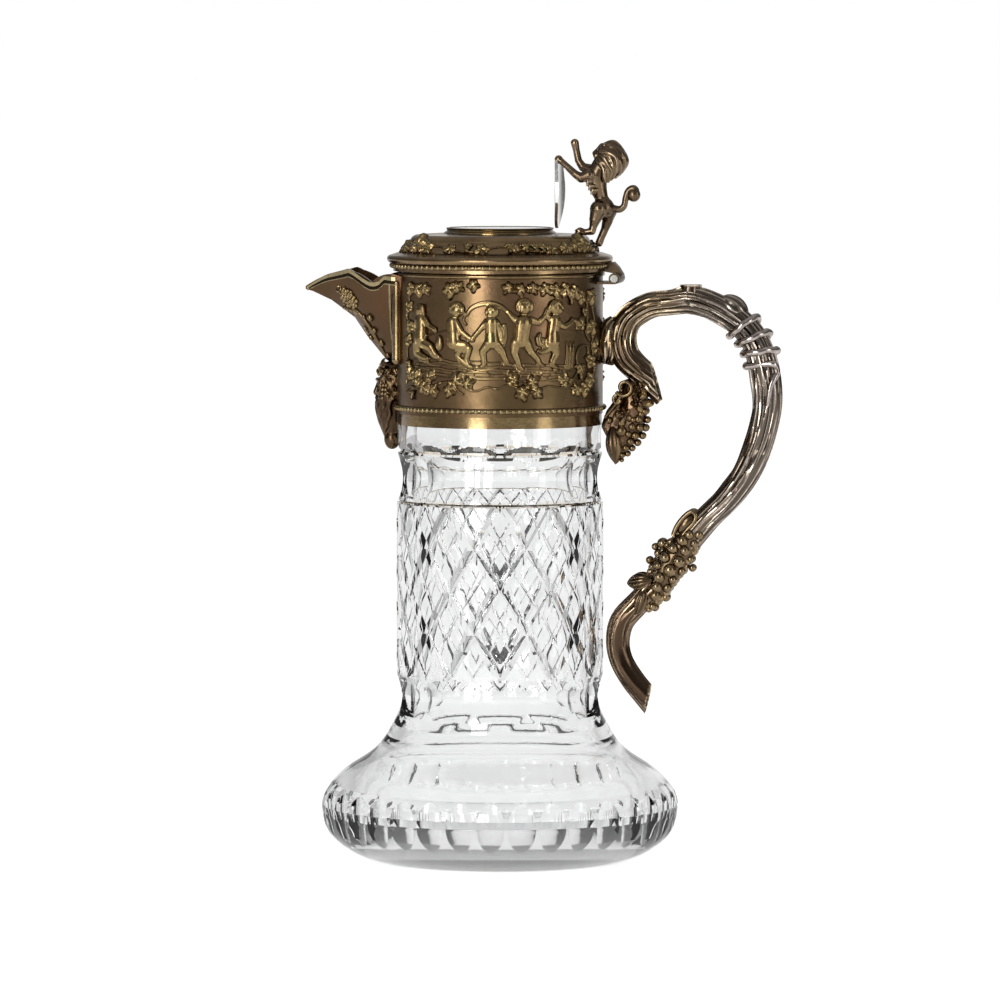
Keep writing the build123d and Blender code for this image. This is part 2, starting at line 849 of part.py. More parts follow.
def build():
    os.makedirs("parts", exist_ok=True)
    write("glass_body", glass_body())
    write(
        "neck_cement",
        ring(neck_radius, collar_inner_radius, collar_foot_z, glass_rim_z),
    )
    write(
        "rim_seal_ring",
        ring(
            neck_radius - neck_wall,
            collar_inner_radius,
            glass_rim_z,
            glass_rim_z + seal_ring_thickness,
        ),
    )
    write(
        "collar_base_band",
        ring(neck_radius, neck_radius + base_band_wall, mount_z, collar_foot_z),
    )
    bead_wire = half_round(
        collar_radius, mount_z + lower_bead_height, bead_wire_width, bead_wire_reach
    )
    rim_wire = collar_rim_wire()
    beak, beak_inside, edge_moulding, beak_outside = spout_pieces(rim_wire)
    shell = ring(collar_inner_radius, collar_radius, collar_foot_z, collar_top_z)
    write("collar_shell", shell - beak_inside)
    write("collar_bead_wire", bead_wire)
    write("collar_rim_wire", rim_wire - beak_inside)
    write("spout_beak", beak)
    write("spout_edge_moulding", edge_moulding)
    write("spout_root_mouldings", *spout_root_mouldings(beak_outside))
    write("spout_vine_castings", *spout_vine_castings(beak_outside))
    write("spout_mask", spout_mask(bead_wire, beak_outside))

    branch = handle_branch()
    write("handle_branch", branch)
    write("handle_tendril", handle_tendril(branch))
    grapes = handle_grapes(branch)
    write("handle_grapes", grapes)
    write("handle_leaves", *handle_leaves(branch, grapes))
    write("handle_vine_spray", handle_vine_spray(branch, bead_wire))

    write("hinge_fixed_leaf", hinge_fixed_leaf())
    write("hinge_pin", hinge_pin())
    dome = lid_shell()
    lid_beads = lid_bead_wire()
    boss = lid_boss_ring()
    plaque = lid_plaque()
    write("hinge_lid_leaf", hinge_lid_leaf(dome))
    write("lid_shell", dome)
    write("lid_bead_wire", lid_beads)
    write("lid_locating_flange", lid_locating_flange())
    write("lid_boss_ring", boss)
    write("lid_plaque", plaque)
    held_shield = shield()
    write("shield", held_shield)
    write("lion_figure", lion_figure(held_shield, [dome, boss, plaque]))


build()
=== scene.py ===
import math
import random

import bmesh
import bpy
from mathutils import Matrix, Vector, noise


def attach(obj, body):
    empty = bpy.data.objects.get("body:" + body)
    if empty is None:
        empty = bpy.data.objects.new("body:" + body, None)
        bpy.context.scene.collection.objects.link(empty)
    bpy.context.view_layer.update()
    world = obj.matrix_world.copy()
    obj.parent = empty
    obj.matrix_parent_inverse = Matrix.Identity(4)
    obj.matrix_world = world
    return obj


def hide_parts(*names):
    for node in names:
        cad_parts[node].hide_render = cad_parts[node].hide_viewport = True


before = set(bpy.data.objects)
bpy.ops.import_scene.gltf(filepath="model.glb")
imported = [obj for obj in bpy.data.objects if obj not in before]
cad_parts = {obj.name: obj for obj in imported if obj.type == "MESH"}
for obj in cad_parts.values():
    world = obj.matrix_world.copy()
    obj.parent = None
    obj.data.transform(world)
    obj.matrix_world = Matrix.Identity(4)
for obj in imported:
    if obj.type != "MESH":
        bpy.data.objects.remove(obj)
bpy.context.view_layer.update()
random.seed(7)

# Lengths here are in millimetres until a piece is finished; the spout points to -X.
MM = 0.001
FACING = math.radians(-82)


# Shared shaping
def soft_step(value):
    value = min(max(value, 0.0), 1.0)
    return value * value * (3 - 2 * value)


def along(table, x):
    """Smooth curve through a table of (x, y) places."""
    if x <= table[0][0]:
        return table[0][1]
    if x >= table[-1][0]:
        return table[-1][1]
    k = max(i for i in range(len(table) - 1) if table[i][0] <= x)
    (x0, y0), (x1, y1) = table[k], table[k + 1]
    before = table[max(k - 1, 0)]
    after = table[min(k + 2, len(table) - 1)]
    step = x1 - x0
    m0 = (y1 - before[1]) / (x1 - before[0]) * step
    m1 = (after[1] - y0) / (after[0] - x0) * step
    t = (x - x0) / step
    return (
        (2 * t**3 - 3 * t**2 + 1) * y0
        + (t**3 - 2 * t**2 + t) * m0
        + (3 * t**2 - 2 * t**3) * y1
        + (t**3 - t**2) * m1
    )


def on_round(radius, angle, height):
    return Vector((radius * math.cos(angle), radius * math.sin(angle), height))


def merge(bm, reach=0.01):
    bmesh.ops.remove_doubles(bm, verts=bm.verts[:], dist=reach)


def face_out(bm):
    bmesh.ops.recalc_face_normals(bm, faces=bm.faces[:])


def woven(bm, columns, rows, spot):
    """Sheet of columns and rows of faces whose corners go where spot(column, row) says."""
    made = bmesh.ops.create_grid(bm, x_segments=columns, y_segments=rows, size=0.5)["verts"]
    for vert in made:
        vert.co = spot(round((vert.co.x + 0.5) * columns), round((vert.co.y + 0.5) * rows))


def finish_piece(name, bm, body, material, replaced=(), crease=30):
    """Turn a shape in millimetres into a piece that rides on its body."""
    bmesh.ops.scale(bm, vec=(MM, MM, MM), verts=bm.verts[:])
    mesh = bpy.data.meshes.new(name)
    bm.to_mesh(mesh)
    bm.free()
    for polygon in mesh.polygons:
        polygon.use_smooth = True
    mesh.set_sharp_from_angle(angle=math.radians(crease))
    mesh.materials.append(material)
    piece = bpy.data.objects.new(name, mesh)
    bpy.context.scene.collection.objects.link(piece)
    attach(piece, body)
    if replaced:
        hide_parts(*replaced)


def closed(bm, reach=0.002):
    """Close seams and open ends, with the faces pointing outwards."""
    merge(bm, reach)
    bmesh.ops.holes_fill(bm, edges=[edge for edge in bm.edges if edge.is_boundary], sides=0)
    face_out(bm)


def smooth_line(stations, gap):
    """Places, radii and distances along a smooth line through (x, y, z, radius) stations."""
    marks = [0.0]
    for a, b in zip(stations, stations[1:]):
        marks.append(marks[-1] + (Vector(b[:3]) - Vector(a[:3])).length)
    tables = [[(mark, each[k]) for mark, each in zip(marks, stations)] for k in range(4)]
    count = max(3, round(marks[-1] / gap))
    line = []
    for n in range(count + 1):
        mark = marks[-1] * n / count
        x, y, z, r = [along(table, mark) for table in tables]
        line.append((Vector((x, y, z)), r, mark))
    return line


def framed(line, side=(0, 1, 0)):
    """Add to each place of a line its two directions across."""
    across = Vector(side)
    made = []
    for n, (place, radius, mark) in enumerate(line):
        ahead = (line[min(n + 1, len(line) - 1)][0] - line[max(n - 1, 0)][0]).normalized()
        across = (across - ahead * across.dot(ahead)).normalized()
        made.append((place, radius, mark, ahead, across, ahead.cross(across)))
    return made


def rod(bm, stations, around=10, gap=0.6, skin=None, side=(0, 1, 0)):
    """Rod along a smooth line; skin(angle, distance) adds to its radius."""
    line = framed(smooth_line(stations, gap), side)

    def spot(column, row):
        place, radius, mark, ahead, across, up = line[row]
        angle = 2 * math.pi * column / around
        reach = radius + (skin(angle, mark) if skin else 0.0)
        return place + across * (math.cos(angle) * reach) + up * (math.sin(angle) * reach)

    woven(bm, around, len(line) - 1, spot)
    return line


def ball(bm, place, radius, squash=(1, 1, 1), around=10, rings=6, turn=None):
    made = bmesh.ops.create_uvsphere(bm, u_segments=around, v_segments=rings, radius=radius)["verts"]
    shape = Matrix.Diagonal((*squash, 1))
    if turn is not None:
        shape = turn.to_4x4() @ shape
    bmesh.ops.transform(bm, matrix=Matrix.Translation(place) @ shape, verts=made)
    return made


def limb(bm, stations, squash=(1, 1, 1), around=10):
    """Balls joined by tapers through (x, y, z, radius) stations."""
    for x, y, z, r in stations:
        ball(bm, (x, y, z), r, squash, around=around, rings=8)
    for a, b in zip(stations, stations[1:]):
        start, end = Vector(a[:3]), Vector(b[:3])
        run = end - start
        made = bmesh.ops.create_cone(
            bm, cap_ends=True, segments=around, radius1=a[3], radius2=b[3], depth=run.length
        )["verts"]
        turn = run.to_track_quat("Z", "Y").to_matrix().to_4x4()
        middle = Matrix.Translation((start + end) / 2)
        bmesh.ops.transform(bm, matrix=middle @ Matrix.Diagonal((*squash, 1)) @ turn, verts=made)


def melted(bm, grain, rounds=3):
    """Run overlapping shapes together into one cast skin."""
    mesh = bpy.data.meshes.new("melt")
    bm.to_mesh(mesh)
    bm.free()
    rough = bpy.data.objects.new("melt", mesh)
    bpy.context.scene.collection.objects.link(rough)
    skin = rough.modifiers.new("skin", "REMESH")
    skin.mode = "VOXEL"
    skin.voxel_size = grain
    ease = rough.modifiers.new("ease", "SMOOTH")
    ease.iterations = rounds
    ease.factor = 0.5
    graph = bpy.context.evaluated_depsgraph_get()
    made = bmesh.new()
    made.from_mesh(rough.evaluated_get(graph).to_mesh())
    bpy.data.objects.remove(rough)
    bpy.data.meshes.remove(mesh)
    return made


def keep_outside(bm, radius):
    """Push what reaches inside a round wall back to its face."""
    for vert in bm.verts:
        reach = math.hypot(vert.co.x, vert.co.y)
        if 0 < reach < radius:
            vert.co.x *= radius / reach
            vert.co.y *= radius / reach


LOBES = 5
NOTCH = 0.42
LEAF_WIDTH = 0.9


def leaf(bm, place, length, dome=0.2, columns=30, rings=5):
    """Lobed vine leaf whose veins stand up; place(x, y, h) puts it where it lies."""
    def spot(column, row):
        angle = 2 * math.pi * column / columns
        share = row / rings
        lobe = abs(math.cos(angle * LOBES / 2)) ** 0.8
        reach = length * 0.5 * (1 - NOTCH + NOTCH * lobe) * (1 + 0.25 * math.cos(angle))
        x = reach * share * math.cos(angle)
        y = reach * share * math.sin(angle) * LEAF_WIDTH
        vein = lobe**6 * 0.45 + 0.55
        height = length * dome * vein * math.sin(math.pi * (0.16 + 0.84 * share)) ** 0.7
        return place(x, y, height)

    woven(bm, columns, rings, spot)


def lying(centre, along_leaf, up):
    """Placing for a leaf: its middle, the way it points and the way it faces."""
    up = Vector(up).normalized()
    ahead = Vector(along_leaf)
    ahead = (ahead - up * ahead.dot(up)).normalized()
    side = up.cross(ahead)
    centre = Vector(centre)
    return lambda x, y, h: centre + ahead * x + side * y + up * h


# Finishes
class Finish:
    """A node-built material, made step by step."""

    def __init__(self, name):
        self.material = bpy.data.materials.new(name)
        self.material.use_nodes = True
        self.nodes = self.material.node_tree.nodes
        self.shader = self.nodes["Principled BSDF"]
        self.places = self.nodes.new("ShaderNodeTexCoord").outputs["Object"]

    def link(self, start, end):
        self.material.node_tree.links.new(start, end)

    def noise(self, scale, detail=3.0, rough=0.55):
        grain = self.nodes.new("ShaderNodeTexNoise")
        for socket, value in (("Scale", scale), ("Detail", detail), ("Roughness", rough)):
            grain.inputs[socket].default_value = value
        self.link(self.places, grain.inputs["Vector"])
        return grain.outputs["Fac"]

    def ramp(self, value, *stops):
        node = self.nodes.new("ShaderNodeValToRGB")
        ends = node.color_ramp.elements
        while len(ends) < len(stops):
            ends.new(0.5)
        for end, (place, colour) in zip(ends, stops):
            end.position = place
            end.color = (*colour, 1)
        self.link(value, node.inputs["Fac"])
        return node.outputs["Color"]

    def grey(self, value, *stops):
        return self.ramp(value, *[(place, (level, level, level)) for place, level in stops])

    def sums(self, kind, first, second):
        node = self.nodes.new("ShaderNodeMath")
        node.operation = kind
        node.use_clamp = True
        for socket, value in zip(node.inputs, (first, second)):
            if isinstance(value, (int, float)):
                socket.default_value = value
            else:
                self.link(value, socket)
        return node.outputs[0]

    def blend(self, share, first, second):
        node = self.nodes.new("ShaderNodeMix")
        node.data_type = "RGBA"
        self.link(share, node.inputs["Factor"])
        for socket, value in ((node.inputs[6], first), (node.inputs[7], second)):
            if isinstance(value, tuple):
                socket.default_value = (*value, 1)
            else:
                self.link(value, socket)
        return node.outputs[2]

    def bump(self, value, strength, depth):
        node = self.nodes.new("ShaderNodeBump")
        node.inputs["Strength"].default_value = strength
        node.inputs["Distance"].default_value = depth
        self.link(value, node.inputs["Height"])
        self.link(node.outputs["Normal"], self.shader.inputs["Normal"])

    def set(self, **values):
        for name, value in values.items():
            self.shader.inputs[name.replace("_", " ")].default_value = value


# GOLD and BRONZE are the default high and low colours. The high one is painted on raised parts and edges
# (part rubbed wear, part painted highlight). The low one goes on dark patina patches and, on a cast skin, on
# hollows (part patina, part painted shade) and round the foot of raised relief (painted shade).
GOLD = (0.80, 0.60, 0.27)
BRASS = (0.40, 0.275, 0.12)
COPPER = (0.36, 0.20, 0.105)
BRONZE = (0.085, 0.055, 0.027)
SILVERED = (0.135, 0.113, 0.096)
HOOK_BROWN = (0.075, 0.047, 0.03)


def worn_gilding(name, high=GOLD, flat=BRASS, stain=COPPER, low=BRONZE, shine=(0.18, 0.4), patch=0.6,
                 cast=0.05, along_branch=False):
    """Old gilding, cloudy brown; on a cast skin it is also painted bright where it stands up (part rubbed
    wear, part painted highlight), dark in its hollows (part patina, part painted shade) and dark round the
    foot of raised relief (painted shade).
    """
    made = Finish(name)
    made.set(Metallic=1.0)
    cloud = made.grey(made.noise(60, 5.0, 0.6), (0.38, 0.0), (0.66, 1.0))
    stained = made.grey(made.noise(34, 4.0, 0.6), (0.42, 0.0), (0.62, 1.0))
    speck = made.grey(made.noise(700, 4.0, 0.65), (0.30, 0.35), (0.58, 1.0))
    skin = made.blend(made.sums("MULTIPLY", cloud, patch), made.blend(stained, flat, stain), low)
    dull = made.sums("ADD", cloud, 0.2)
    if along_branch:
        split = made.nodes.new("ShaderNodeSeparateXYZ")
        made.link(made.places, split.inputs[0])
        outer = made.grey(made.sums("MULTIPLY", split.outputs["X"], 8.0), (0.52, 0.0), (0.70, 0.75))
        hook = made.grey(made.sums("MULTIPLY", split.outputs["Z"], 5.0), (0.50, 0.8), (0.68, 0.0))
        skin = made.blend(outer, skin, SILVERED)
        skin = made.blend(hook, skin, HOOK_BROWN)
        # The high colour is painted on a cast skin's raised edges (part rubbed wear, part painted highlight).
        # Here it turns silvery on the outer part and brown on the hook.
        high = made.blend(outer, high, (0.74, 0.66, 0.59))
        high = made.blend(hook, high, (0.46, 0.33, 0.21))
    if cast:
        pointed = made.nodes.new("ShaderNodeNewGeometry").outputs["Pointiness"]
        lifted = made.nodes.new("ShaderNodeAttribute")
        lifted.attribute_name = "lifted"
        # On a cast skin, raised parts read from the lifted attribute are painted towards the high colour
        # (part rubbed wear, part painted highlight). The low parts just above the relief's ground are painted
        # dark (painted shade round the foot of the figures).
        top = made.grey(lifted.outputs["Fac"], (0.2, 0.0), (0.9, 0.32))
        foot = made.grey(lifted.outputs["Fac"], (0.01, 0.0), (0.05, 0.9), (0.12, 0.7), (0.24, 0.0))
        # Sharp outward edges, from pointiness, are painted bright (part rubbed wear, part painted highlight).
        # Hollows are painted dark (part patina, part painted shade).
        rise = made.grey(pointed, (0.512, 0.0), (0.5 + cast, 1.0))
        fall = made.grey(pointed, (0.5 - cast, 1.0), (0.49, 0.0))
        # This mask lays on the high colour as part rubbed wear, part painted highlight.
        wear_and_highlight = made.sums("MULTIPLY", made.sums("ADD", rise, top), speck)
        skin = made.blend(wear_and_highlight, skin, high)
        skin = made.blend(made.sums("ADD", fall, foot), skin, low)
        dull = made.sums("MULTIPLY", made.sums("SUBTRACT", 1.0, wear_and_highlight), dull)
    made.link(skin, made.shader.inputs["Base Color"])
    made.link(made.grey(dull, (0.0, shine[0]), (1.0, shine[1])), made.shader.inputs["Roughness"])
    made.bump(made.noise(420, 5.0), 0.3, 0.0002)
    return made.material


# In each gilt finish with a cast skin, the first colour is painted on raised parts and edges (part rubbed
# wear, part painted highlight). The low colour is painted on hollows (part patina, part painted shade) and
# round the foot of raised relief (painted shade).
relief_gilt = worn_gilding("relief_gilt", (0.62, 0.47, 0.21), (0.20, 0.14, 0.062), (0.18, 0.105, 0.055),
                           shine=(0.2, 0.36))
bead_gilt = worn_gilding("bead_gilt", (0.34, 0.26, 0.135), (0.07, 0.049, 0.026), (0.06, 0.039, 0.023),
                         (0.02, 0.014, 0.008), shine=(0.14, 0.3))
casting_gilt = worn_gilding("casting_gilt", (0.50, 0.36, 0.17), (0.13, 0.088, 0.049), (0.115, 0.068, 0.041),
                            (0.02, 0.014, 0.009), shine=(0.14, 0.32), cast=0.14)
edge_gilt = worn_gilding("edge_gilt", (0.58, 0.49, 0.29), (0.26, 0.205, 0.105), (0.20, 0.14, 0.08),
                         (0.02, 0.014, 0.009), shine=(0.12, 0.26), cast=0.3)
lion_gilt = worn_gilding("lion_gilt", (0.56, 0.43, 0.28), (0.18, 0.128, 0.078), (0.15, 0.095, 0.062),
                         (0.03, 0.02, 0.013), shine=(0.16, 0.34))
moulding_gilt = worn_gilding("moulding_gilt", flat=(0.29, 0.21, 0.10), stain=(0.21, 0.14, 0.075),
                             shine=(0.1, 0.26), patch=0.75, cast=0)
sheet_gilt = worn_gilding("sheet_gilt", flat=(0.14, 0.096, 0.045), stain=(0.17, 0.10, 0.055),
                          shine=(0.22, 0.36), patch=0.6, cast=0)
lid_gilt = worn_gilding("lid_gilt", flat=(0.32, 0.22, 0.115), stain=(0.24, 0.155, 0.09), shine=(0.16, 0.32),
                        cast=0)
beak_gilt = worn_gilding("beak_gilt", flat=(0.105, 0.062, 0.034), stain=(0.125, 0.06, 0.034),
                         shine=(0.16, 0.34), patch=0.8, cast=0)
hinge_gilt = worn_gilding("hinge_gilt", flat=(0.07, 0.05, 0.032), stain=(0.05, 0.036, 0.024),
                          shine=(0.3, 0.5), cast=0)
branch_gilt = worn_gilding("branch_gilt", (0.70, 0.57, 0.40), (0.15, 0.105, 0.06), (0.13, 0.085, 0.058),
                           (0.03, 0.021, 0.014), shine=(0.14, 0.28), cast=0.035, along_branch=True)
grape_gilt = worn_gilding("grape_gilt", (0.46, 0.34, 0.19), (0.105, 0.072, 0.042), (0.085, 0.055, 0.035),
                          (0.02, 0.014, 0.009), shine=(0.14, 0.28), cast=0.1)
tendril_gilt = worn_gilding("tendril_gilt", (0.62, 0.55, 0.51), (0.17, 0.135, 0.115), (0.14, 0.105, 0.088),
                            (0.04, 0.03, 0.024), shine=(0.12, 0.26), patch=0.5)


def polished_silver():
    made = Finish("polished_silver")
    made.set(Metallic=1.0)
    made.link(made.ramp(made.noise(120, 2.0), (0.3, (0.86, 0.85, 0.83)), (0.7, (0.95, 0.94, 0.93))),
              made.shader.inputs["Base Color"])
    made.link(made.grey(made.noise(300, 4.0), (0.3, 0.07), (0.7, 0.16)), made.shader.inputs["Roughness"])
    made.bump(made.noise(60, 2.0), 0.15, 0.0004)
    return made.material


def cut_crystal():
    made = Finish("cut_crystal")
    made.set(Transmission_Weight=1.0, IOR=1.52)
    split = made.nodes.new("ShaderNodeSeparateXYZ")
    made.link(made.places, split.inputs[0])
    band = made.sums("MULTIPLY", split.outputs["Z"], 5.0)
    clear = (0.985, 0.99, 0.99)
    grime = (0.78, 0.62, 0.42)
    dirt = made.ramp(
        band,
        (0.0, clear),
        (0.7165, clear),
        (0.7185, grime),
        (0.7205, clear),
        (0.8180, clear),
        (0.8200, grime),
        (0.8220, clear),
    )
    made.link(dirt, made.shader.inputs["Base Color"])
    underside = made.grey(made.sums("MULTIPLY", split.outputs["Z"], 400.0), (0.05, 0.45), (0.12, 0.0))
    made.link(underside, made.shader.inputs["Roughness"])
    made.bump(made.noise(45, 2.0), 0.12, 0.0009)
    return made.material


def old_plaster():
    made = Finish("old_plaster")
    made.set(Roughness=0.9)
    made.link(made.ramp(made.noise(200, 5.0), (0.3, (0.62, 0.58, 0.5)), (0.7, (0.85, 0.81, 0.73))),
              made.shader.inputs["Base Color"])
    made.bump(made.noise(1500, 4.0), 0.4, 0.0003)
    return made.material


silver = polished_silver()
steel = worn_gilding("steel_pin", flat=(0.34, 0.35, 0.33), stain=(0.28, 0.28, 0.25), low=(0.14, 0.13, 0.11),
                     cast=0)
crystal = cut_crystal()
plaster = old_plaster()


# Glass vessel
SECTORS = 12
PART = 360 // SECTORS
COLUMNS = 504
BODY = 41.4
ZONE_FOOT = 75.8
ZONE_TOP = 143.2
MAIN_HALF = 0.104
FINE_HALF = 0.024
MAIN_DEPTH = 1.75
FINE_DEPTH = 0.42
GROOVES = (143.75, 164.0)
GROOVE_BOTTOM = 39.5
NECK = 41.2
NECK_LIP = 40.5
FLUTES = 36
OVAL_MIDDLE = 19.1
OVAL_HALF = 9.8
OVAL_DEPTH = 1.75
OVAL_END = 0.015
FLUTE_TWIST = math.radians(2)
outer_wall = [
    (0.0, 49.0), (0.5, 51.0), (2.8, 57.6), (5.2, 62.0), (7.6, 65.2), (10.0, 67.6), (12.4, 69.2),
    (14.8, 70.3), (18.0, 71.0), (22.0, 71.35), (24.4, 71.1), (26.8, 70.3), (29.2, 68.9),
    (31.6, 67.0), (34.0, 64.8), (36.4, 62.0), (38.8, 58.5), (41.2, 54.6), (43.6, 51.2), (46.0, 48.6),
    (48.4, 46.7), (50.8, 45.1), (53.2, 43.8), (55.6, 42.6), (58.0, 41.7), (61.0, 41.4), (75.8, 41.4),
]
inner_wall = [
    (197.0, 34.6), (180.0, 34.6), (165.0, 34.6), (152.0, 35.2), (143.0, 36.0), (120.0, 36.0),
    (100.0, 36.0), (80.0, 36.0), (64.0, 36.0), (57.0, 36.2), (52.0, 37.6), (47.0, 40.4), (43.0, 44.0),
    (39.0, 48.2), (35.0, 53.4), (31.0, 58.6), (27.5, 62.2), (24.5, 63.9), (21.5, 64.2), (18.5, 62.6),
    (15.5, 59.2), (13.0, 55.4), (11.2, 49.0), (11.0, 38.0), (11.0, 20.0), (11.0, 0.0),
]


def tile_stops():
    """Places of the lines across one large diamond, as shares of its width."""
    lip = MAIN_HALF * (1 - FINE_DEPTH / MAIN_DEPTH)
    low = [0.0, lip, MAIN_HALF]
    low += [MAIN_HALF + (0.5 - FINE_HALF - MAIN_HALF) * k / 4 for k in (1, 2, 3, 4)] + [0.5]
    return low + [1 - t for t in reversed(low[:-1])]


STOPS = tile_stops()
TILE = len(STOPS) - 1


def mitre(t):
    """Depth of the cuts that lie across a diamond at a share of its width."""
    main = MAIN_DEPTH * (1 - min(t, 1 - t) / MAIN_HALF)
    fine = FINE_DEPTH * (1 - abs(t - 0.5) / FINE_HALF)
    return max(main, fine, 0.0)


def edge_spot(column, height):
    """Place of a column where the diamonds end."""
    def knot(q):
        t = STOPS[q % TILE]
        angle = FACING + math.radians(PART * (q // TILE + t))
        return on_round(BODY - mitre(t), angle, height)

    q, third = divmod(column, 3)
    return knot(q).lerp(knot(q + 1), third / 3)


def diamond_zone(bm):
    """Crossed mitre cuts, laid out flat as (angle, depth, height), then bent round the body."""
    half = (ZONE_TOP - ZONE_FOOT) / 4
    for row in range(5):
        for turn in range(SECTORS):
            i = turn + (row + 1) // 2
            j = i - row

            def spot(a, b):
                ta, tb = STOPS[a], STOPS[b]
                u, v = i + ta, j + tb
                return Vector((PART / 2 * (u + v), max(mitre(ta), mitre(tb)), ZONE_FOOT + half * (u - v)))

            woven(bm, TILE, TILE, spot)
    for face in bm.faces[:]:
        a, b, c, d = face.verts
        if a.co.y + c.co.y < b.co.y + d.co.y - 0.001:
            bmesh.utils.face_split(face, a, c)
        elif b.co.y + d.co.y < a.co.y + c.co.y - 0.001:
            bmesh.utils.face_split(face, b, d)
    for height, up in ((ZONE_FOOT, -1), (ZONE_TOP, 1)):
        bmesh.ops.bisect_plane(
            bm, geom=bm.verts[:] + bm.edges[:] + bm.faces[:], dist=0.001,
            plane_co=(0, 0, height), plane_no=(0, 0, up), clear_outer=True,
        )
    for vert in bm.verts:
        vert.co = on_round(BODY - vert.co.y, FACING + math.radians(vert.co.x), vert.co.z)
    merge(bm)
    rims = [edge for edge in bm.edges if edge.is_boundary]
    bmesh.ops.subdivide_edges(bm, edges=rims, cuts=2)


def hollow(height, least, middle, spread):
    """Distance from the axis to a panel's face, ground hollow from top to bottom."""
    return least + (height - middle) ** 2 / spread


def panel(radius, angle, face, turn=0.0):
    """Radius where twelve panels are ground straight across a wall."""
    part = math.radians(PART)
    off = (angle - FACING - turn + part / 2) % part - part / 2
    return min(radius, face / math.cos(off))


def knot_angle(column):
    q, third = divmod(column, 3)
    first = q // TILE + STOPS[q % TILE]
    second = (q + 1) // TILE + STOPS[(q + 1) % TILE]
    return math.radians(PART * (first + (second - first) * third / 3))


def flute_angle(column, share):
    """Column place round the base, drawn in to the oval flute's edge."""
    flute, k = divmod(column, COLUMNS // FLUTES)
    edge = 0.45 * share
    if k <= 2:
        place = -0.5 + (0.5 - edge) * k / 2
    elif k >= 12:
        place = edge + (0.5 - edge) * (k - 12) / 2
    else:
        place = edge * (k - 7) / 5
    return math.radians(360 / FLUTES * (flute + 0.5 + place)) + FLUTE_TWIST, place / edge


def lower_rows():
    """Heights from the diamonds down to the foot."""
    high = [75.8, 75.0, 74.2, 73.2, 72.0, 70.5, 69.0, 67.5, 66.0, 64.5, 63.0, 62.0, 61.0, 60.0, 59.2]
    high += [58.4, 57.6, 56.6, 55.4, 54.0, 52.4, 50.6, 48.6, 46.6, 44.6, 42.8, 41.2, 39.6, 38.0]
    high += [36.2, 34.4, 32.6, 30.8]
    oval = [OVAL_MIDDLE + OVAL_HALF * math.cos(math.pi * k / 18) for k in range(19)]
    return high + oval + [8.0, 6.4, 4.8, 3.2, 1.6, 0.5]


def lower_spot(column, height):
    if height >= ZONE_FOOT:
        return edge_spot(column, height)
    oval = 1 - ((height - OVAL_MIDDLE) / OVAL_HALF) ** 2
    share = math.sqrt(max(oval, OVAL_END))
    flute, across = flute_angle(column, share)
    knot = knot_angle(column)
    blend = soft_step((56.0 - height) / 22.0)
    angle = FACING + knot * (1 - blend) + flute * blend
    radius = along(outer_wall, height)
    fade = max(0.0, 1 - (ZONE_FOOT - height) / 1.8)
    if fade > 0:
        radius -= mitre((knot / math.radians(PART)) % 1.0) * fade
    if height > 50:
        radius = panel(radius, angle, hollow(height, 39.1, 66.2, 33))
    if oval > 0 and abs(across) < 1:
        radius -= OVAL_DEPTH * share**2 * (1 - across**2)
    return on_round(radius, angle, height)


def upper_rows():
    """Heights from the diamonds up to the rim inside the mount."""
    band = [143.2, 143.75, 144.5, 145.2, 146.0, 147.0, 148.2, 149.5, 151.0, 152.5, 154.0, 155.5]
    band += [157.0, 158.4, 159.6, 160.6, 161.5, 162.3, 163.1, 164.0, 164.9, 165.4, 165.9, 166.4]
    return band + [166.9, 167.4, 168.0, 169.0, 171.5, 174.4]


def upper_spot(column, height):
    if height <= ZONE_TOP:
        return edge_spot(column, height)
    angle = FACING + knot_angle(column)
    radius = NECK
    if height < 163.5:
        radius = panel(radius, angle, hollow(height, 38.7, 153.6, 41))
    if height > 164.2:
        face = 39.0 + 1.5 * ((height - 164.2) / 3.2)
        radius = panel(NECK_LIP, angle, face, turn=math.radians(15))
    if height in GROOVES:
        radius = GROOVE_BOTTOM
    return on_round(radius, angle, height)


def cut_glass_vessel():
    bm = bmesh.new()
    diamond_zone(bm)
    low = lower_rows()
    woven(bm, COLUMNS, len(low) - 1, lambda c, r: lower_spot(c, low[r]))
    foot = [(49.6, 0.15), (48.6, 0.0), (46.0, 0.0), (30.0, 0.0), (12.0, 0.0), (0.0, 0.0)]
    woven(
        bm, COLUMNS, len(foot),
        lambda c, r: lower_spot(c, low[-1]) if r == 0 else on_round(
            foot[r - 1][0], FACING + flute_angle(c, math.sqrt(OVAL_END))[0], foot[r - 1][1]),
    )
    high = upper_rows()
    woven(bm, COLUMNS, len(high) - 1, lambda c, r: upper_spot(c, high[r]))
    throat = [(NECK_LIP, 174.5), (39.2, 174.5), (39.2, 196.4), (38.6, 197.0), (35.2, 197.0)]
    inside = throat + [(radius, height) for height, radius in inner_wall]
    woven(
        bm, COLUMNS, len(inside),
        lambda c, r: upper_spot(c, high[-1]) if r == 0 else on_round(
            inside[r - 1][0], FACING + knot_angle(c), inside[r - 1][1]),
    )
    merge(bm, 0.004)
    face_out(bm)
    finish_piece("cut_glass_vessel", bm, "jug", crystal, ["glass_body"], crease=11)


cut_glass_vessel()


# Mount: beads
COLLAR = 41.1
COLLAR_TOP = 233.6
SUNK = 0.1


def back(out, across, rise, *more):
    """Place on the handle's side, from the collar's wall and its top."""
    return (COLLAR + out, across, COLLAR_TOP + rise, *more)


def front(out, across, rise, *more):
    """Place on the spout's side, from the collar's wall and its top."""
    return (-(COLLAR + out), across, COLLAR_TOP + rise, *more)


